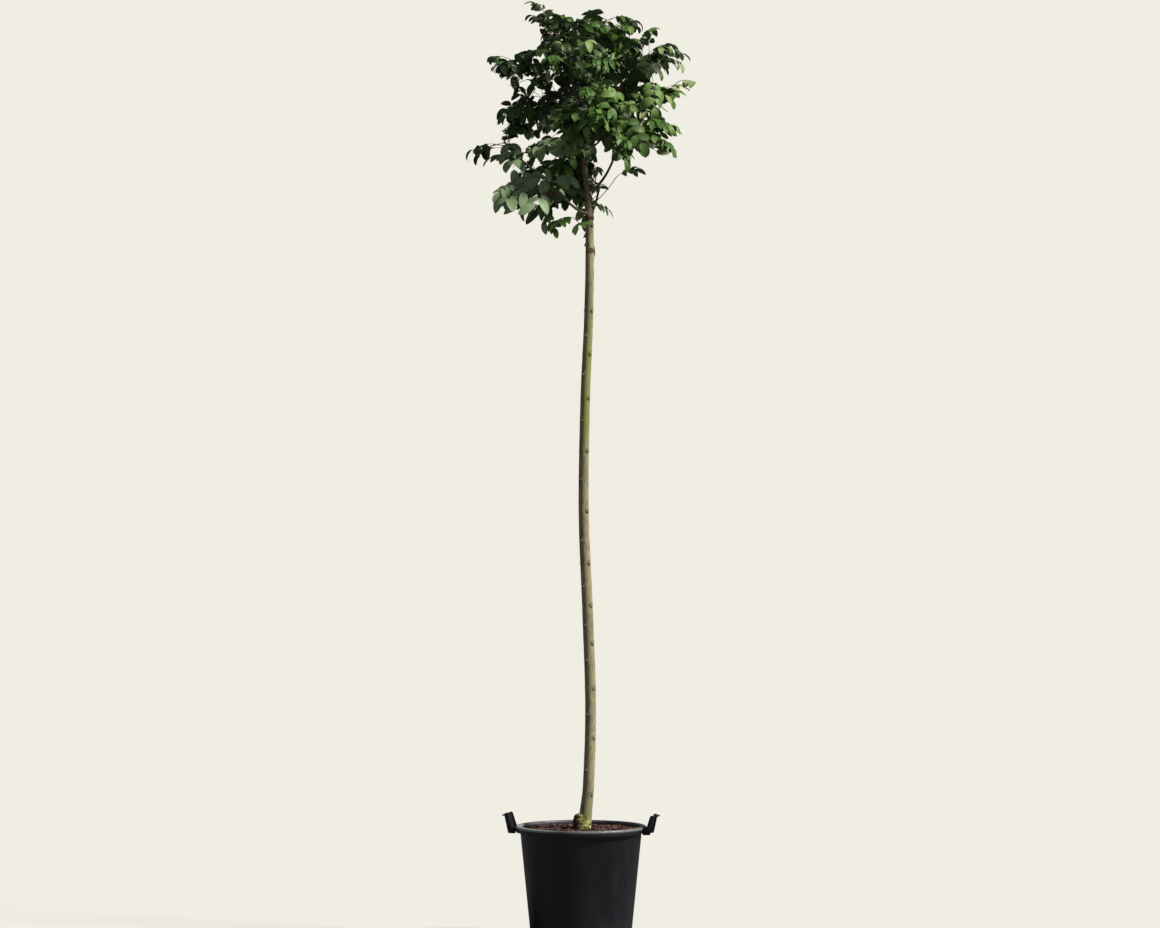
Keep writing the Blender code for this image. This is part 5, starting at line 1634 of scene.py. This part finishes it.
# %% Pot
POT_HEIGHT = 0.385
POT_BASE_RADIUS = 0.166
POT_TOP_RADIUS = 0.2045
POT_WALL = 0.003
POT_FLOOR = 0.004
RIM_RADIUS = 0.218
RIM_DEPTH = 0.020
RIM_THICKNESS = 0.006
DRAIN_COUNT = 8
DRAIN_RADIUS = 0.008
DRAIN_HEIGHT = 0.018
DRAIN_SIDES = 24
POT_STEPS = 160
ARC_STEPS = 5


def wall_radius(height):
    """The outer radius of the pot's wall at a height."""
    return POT_BASE_RADIUS + (POT_TOP_RADIUS - POT_BASE_RADIUS) * height / POT_HEIGHT


def rounded(corners):
    """The outline through some corners (across, height, rounding radius), each rounded off by an arc."""
    outline = []
    for index, (x, z, radius) in enumerate(corners):
        here = Vector((x, z))
        if radius == 0:
            outline.append(here)
            continue
        before, after = (Vector(corners[index + step][:2]) for step in (-1, 1))
        start, end = (here + (other - here).normalized() * radius for other in (before, after))
        outline += arc(start, here, end, ARC_STEPS)
    return outline


def turned(outline, name, steps):
    """Sweeps an outline round the axis, and keeps the closed mesh with its faces outwards."""
    mesh = lines_mesh([[Vector((point.x, 0, point.y)) for point in outline]])
    thing = link_object("raw", mesh)
    screw = thing.modifiers.new("turn", "SCREW")
    screw.steps = screw.render_steps = steps
    screw.use_merge_vertices = True
    screw.merge_threshold = 0.00005
    return plain(thing, name)


def plain(thing, name):
    """Applies an object's modifiers: one plain mesh, its doubles merged, its faces outwards."""
    bpy.context.view_layer.update()
    mesh = bpy.data.meshes.new_from_object(thing.evaluated_get(bpy.context.evaluated_depsgraph_get()))
    bpy.data.objects.remove(thing)
    bm = bmesh.new()
    bm.from_mesh(mesh)
    bmesh.ops.remove_doubles(bm, verts=bm.verts, dist=1e-6)
    bmesh.ops.recalc_face_normals(bm, faces=bm.faces)
    bm.to_mesh(mesh)
    bm.free()
    return link_mesh(name, mesh)


def make_pot():
    inside = wall_radius(POT_HEIGHT) - POT_WALL
    lip_foot, lip_under = POT_HEIGHT - RIM_DEPTH, POT_HEIGHT - RIM_THICKNESS
    outline = rounded([
        (0, POT_FLOOR, 0),
        (wall_radius(POT_FLOOR) - POT_WALL, POT_FLOOR, 0.004),
        (inside, POT_HEIGHT, 0.004),
        (RIM_RADIUS, POT_HEIGHT, 0.0055),
        (RIM_RADIUS, lip_foot, 0.0012),
        (RIM_RADIUS - POT_WALL, lip_foot, 0.0012),
        (RIM_RADIUS - POT_WALL, lip_under, 0.003),
        (wall_radius(lip_under), lip_under, 0.003),
        (POT_BASE_RADIUS, 0, 0.004),
        (0, 0, 0),
    ])
    pot = turned(outline, "pot_shell", POT_STEPS)
    bm = bmesh.new()
    for index in range(DRAIN_COUNT):
        out = outward(360 * (index + 0.5) / DRAIN_COUNT)
        middle = out * (wall_radius(DRAIN_HEIGHT) - POT_WALL / 2) + UP * DRAIN_HEIGHT
        placing = Matrix.Translation(middle) @ out.to_track_quat("Z", "Y").to_matrix().to_4x4()
        bmesh.ops.create_cone(bm, cap_ends=True, segments=DRAIN_SIDES, radius1=DRAIN_RADIUS,
                              radius2=DRAIN_RADIUS, depth=POT_WALL * 10, matrix=placing)
    drill_mesh = bpy.data.meshes.new("drill")
    bm.to_mesh(drill_mesh)
    bm.free()
    drill = link_object("drill", drill_mesh)
    cut = pot.modifiers.new("drains", "BOOLEAN")
    cut.operation = "DIFFERENCE"
    cut.solver = "EXACT"
    cut.object = drill
    pot = plain(pot, "pot_shell")
    bpy.data.objects.remove(drill)
    pot.data.materials.clear()
    pot.data.materials.append(POLYTHENE)
    pot.data.shade_smooth()
    pot.data.set_sharp_from_angle(angle=math.radians(40))
    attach(pot, "root")
    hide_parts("pot")
    print("pot:", len(pot.data.polygons), "faces")


make_pot()

# %% [markdown]
# Two lifting lugs stand out from the rim. Their shape in the solids is already right, so each is a copy of
# its solid with the doubles merged, and a Bevel modifier takes the knife edge off every corner, as the
# radius of a mould does.

# %% Lifting lugs
LUG_EDGE = 0.0009


def make_lug(name):
    lug = link_object("raw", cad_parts[name].data.copy())
    bm = bmesh.new()
    bm.from_mesh(lug.data)
    bmesh.ops.remove_doubles(bm, verts=bm.verts, dist=1e-6)
    bmesh.ops.dissolve_limit(bm, angle_limit=math.radians(1), verts=bm.verts, edges=bm.edges)
    bm.to_mesh(lug.data)
    bm.free()
    bevel = lug.modifiers.new("edges", "BEVEL")
    bevel.width = LUG_EDGE
    bevel.segments = 2
    bevel.angle_limit = math.radians(35)
    lug = plain(lug, name + "_moulded")
    lug.data.materials.clear()
    lug.data.materials.append(LUG_POLYTHENE)
    lug.data.shade_smooth()
    lug.data.set_sharp_from_angle(angle=math.radians(50))
    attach(lug, "root")
    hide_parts(name)
    print(name, len(lug.data.polygons), "faces")


for lug_name in ("lug_left", "lug_right"):
    make_lug(lug_name)

# %% [markdown]
# The pot is filled with composted bark: dark red-brown crumbs, a few chips of bark, and reddish fibres
# that stick up. The ground is a turned solid whose top is pushed into lumps by noise. Chips are scattered
# on that top by Geometry Nodes, each turned and sized at random, and the fibres are rods on bent lines.

# %% Compost
SOIL_TOP = 0.3735
SOIL_EDGE_TOP = 0.3710
SOIL_FLAT_RADIUS = 0.060
SOIL_RINGS = 44
SOIL_STEPS = 150
SOIL_INSET = 0.0036
LUMP_HEIGHT = 0.014


def ground_outline():
    bottom = POT_FLOOR + GAP
    edge = wall_radius(SOIL_EDGE_TOP) - SOIL_INSET
    outline = []
    for ring in range(SOIL_RINGS + 1):
        radius = edge * ring / SOIL_RINGS
        fall = max(radius - SOIL_FLAT_RADIUS, 0) / (edge - SOIL_FLAT_RADIUS)
        outline.append(Vector((radius, SOIL_TOP + (SOIL_EDGE_TOP - SOIL_TOP) * fall)))
    return outline + [Vector((wall_radius(bottom) - SOIL_INSET, bottom)), Vector((0, bottom))]


def lumps_recipe():
    """Pushes the top of the ground up and down by noise; the wall side and the floor stay put."""
    r = Recipe("lumps", height=float, level=float, skin="material")
    place = r.node("GeometryNodeInputPosition")
    level = r.node("ShaderNodeSeparateXYZ", place, output=2)
    across_flat = r.vector("MULTIPLY", place, (1.0, 1.0, 0.0))
    reach = r.node("ShaderNodeVectorMath", across_flat, operation="LENGTH", output="Value")
    top = r.node("FunctionNodeCompare", level, r.given["level"], operation="GREATER_THAN", data_type="FLOAT")
    coarse = r.sum("SUBTRACT", r.noise(across_flat, 28.0, 2.0), 0.46)
    fine = r.sum("MULTIPLY", r.sum("SUBTRACT", r.noise(across_flat, 150.0, 3.0), 0.5), 0.55)
    calm = r.between(reach, 0.185, 0.200, 1.0, 0.25)
    push = r.sum("MULTIPLY", r.sum("MULTIPLY", r.sum("ADD", coarse, fine), r.given["height"]), calm)
    moved = r.node("GeometryNodeSetPosition", r.given["Geometry"], top)
    r.plug(r.node("ShaderNodeCombineXYZ", 0.0, 0.0, push), moved.node.inputs["Offset"])
    r.close(r.node("GeometryNodeSetMaterial", r.node("GeometryNodeSetShadeSmooth", moved), None, r.given["skin"]))
    return r


def chips_recipe():
    """Scatters a shape over the top of a mesh, at random turns and sizes."""
    r = Recipe("chips", shape="object", density=float, smallest=float, largest=float, level=float, skin="material")
    place = r.node("GeometryNodeInputPosition")
    level = r.node("ShaderNodeSeparateXYZ", place, output=2)
    facing = r.node("ShaderNodeSeparateXYZ", r.node("GeometryNodeInputNormal"), output=2)
    high = r.node("FunctionNodeCompare", level, r.given["level"], operation="GREATER_THAN", data_type="FLOAT")
    up = r.node("FunctionNodeCompare", facing, 0.4, operation="GREATER_THAN", data_type="FLOAT")
    top = r.node("FunctionNodeBooleanMath", high, up, operation="AND")
    surface = r.node("GeometryNodeSeparateGeometry", r.given["Geometry"], top, domain="FACE")
    points = r.node("GeometryNodeDistributePointsOnFaces", surface, None, r.given["density"])
    points.node.inputs["Seed"].default_value = 5
    shape = r.node("GeometryNodeObjectInfo", r.given["shape"], output="Geometry")
    turn = r.node("FunctionNodeRandomValue", (-0.5, -0.5, 0.0), (0.5, 0.5, 6.28), data_type="FLOAT_VECTOR")
    size = r.node("FunctionNodeRandomValue", r.given["smallest"], r.given["largest"], data_type="FLOAT")
    placed = r.node("GeometryNodeInstanceOnPoints", points)
    r.plug(shape, placed.node.inputs["Instance"])
    r.plug(turn, placed.node.inputs["Rotation"])
    r.plug(size, placed.node.inputs["Scale"])
    real = r.node("GeometryNodeRealizeInstances", placed)
    r.close(r.node("GeometryNodeSetMaterial", real, None, r.given["skin"]))
    return r


def chip_shape(rng):
    """A crooked little slab, one unit long."""
    bm = bmesh.new()
    bmesh.ops.create_icosphere(bm, subdivisions=1, radius=0.5)
    for vertex in bm.verts:
        vertex.co.y *= 0.62
        vertex.co.z *= 0.34
        vertex.co += Vector([rng.uniform(-0.09, 0.09) for axis in range(3)])
    mesh = bpy.data.meshes.new("chip_shape")
    bm.to_mesh(mesh)
    bm.free()
    return mesh


def make_ground():
    raw = turned(ground_outline(), "ground", SOIL_STEPS)
    source = raw.data.copy()
    bpy.data.objects.remove(raw)
    ground = cooked("compost_ground", source, lumps_recipe(), height=LUMP_HEIGHT, level=SOIL_EDGE_TOP - 0.0005,
                    skin=COMPOST)
    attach(ground, "root")
    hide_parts("soil")
    rng = random.Random(3)
    for name, density, smallest, largest, look in (("bark_chips", 2600.0, 0.006, 0.017, CHIP),
                                                   ("bark_crumbs", 16000.0, 0.002, 0.0055, COMPOST)):
        shape = shape_object(chip_shape(rng))
        chips = cooked(name, ground.data.copy(), chips_recipe(), shape=shape, density=density,
                       smallest=smallest, largest=largest, level=SOIL_EDGE_TOP - 0.006, skin=look)
        bpy.data.objects.remove(shape)
        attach(chips, "root")
    return ground


FIBRE_COUNT = 260
FIBRE_LENGTHS = (0.012, 0.038)
FIBRE_RADII = (0.0007, 0.0003)


def make_fibres(ground):
    """Fibres lie across the lumps at random, their middles a little proud."""
    rng = random.Random(19)
    surface = tree_of([ground])
    lines, radii = [], []
    reach = wall_radius(SOIL_EDGE_TOP) - 0.012
    while len(lines) < FIBRE_COUNT:
        x, y = rng.uniform(-reach, reach), rng.uniform(-reach, reach)
        if math.hypot(x, y) > reach or math.hypot(x - 0.003, y) < 0.036:
            continue
        length = rng.uniform(*FIBRE_LENGTHS)
        heading = outward(rng.uniform(0, 360))
        ends = [Vector((x, y, 0.5)) + heading * length * side / 2 for side in (-1, 1)]
        ends = [surface.ray_cast(end, -UP)[0] for end in ends]
        if None in ends or max(math.hypot(end.x, end.y) for end in ends) > reach:
            continue
        middle = (ends[0] + ends[1]) / 2
        middle += UP * rng.uniform(0.001, 0.009) + heading.cross(UP) * rng.uniform(-0.25, 0.25) * length
        lines.append(arc(ends[0], middle, ends[1], 7))
        radii.append(tapered(lines[-1], *FIBRE_RADII))
    made = cooked("bark_fibres", lines_mesh(lines, thickness=radii), RODS, sides=5, spacing=0.004,
                  streak_height=0.0, streak_scale=100.0, knots=KNOTS, knot_height=0.0, knot_reach=0.001,
                  skin=FIBRE)
    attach(made, "root")


make_fibres(make_ground())
bpy.data.objects.remove(KNOTS)

# %% [markdown]
# Last, the scene measures itself: the box round everything shown must match the box round the solids that
# it dresses, apart from a few millimetres of leaf tip, and it prints how far each side lies past them.

shown_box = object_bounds()
for axis, name in enumerate("XYZ"):
    low, high = shown_box[0][axis] - solid_box[0][axis], shown_box[1][axis] - solid_box[1][axis]
    print(f"{name}: the shown model starts {low * 1000:.1f} mm and ends {high * 1000:.1f} mm past the solids")
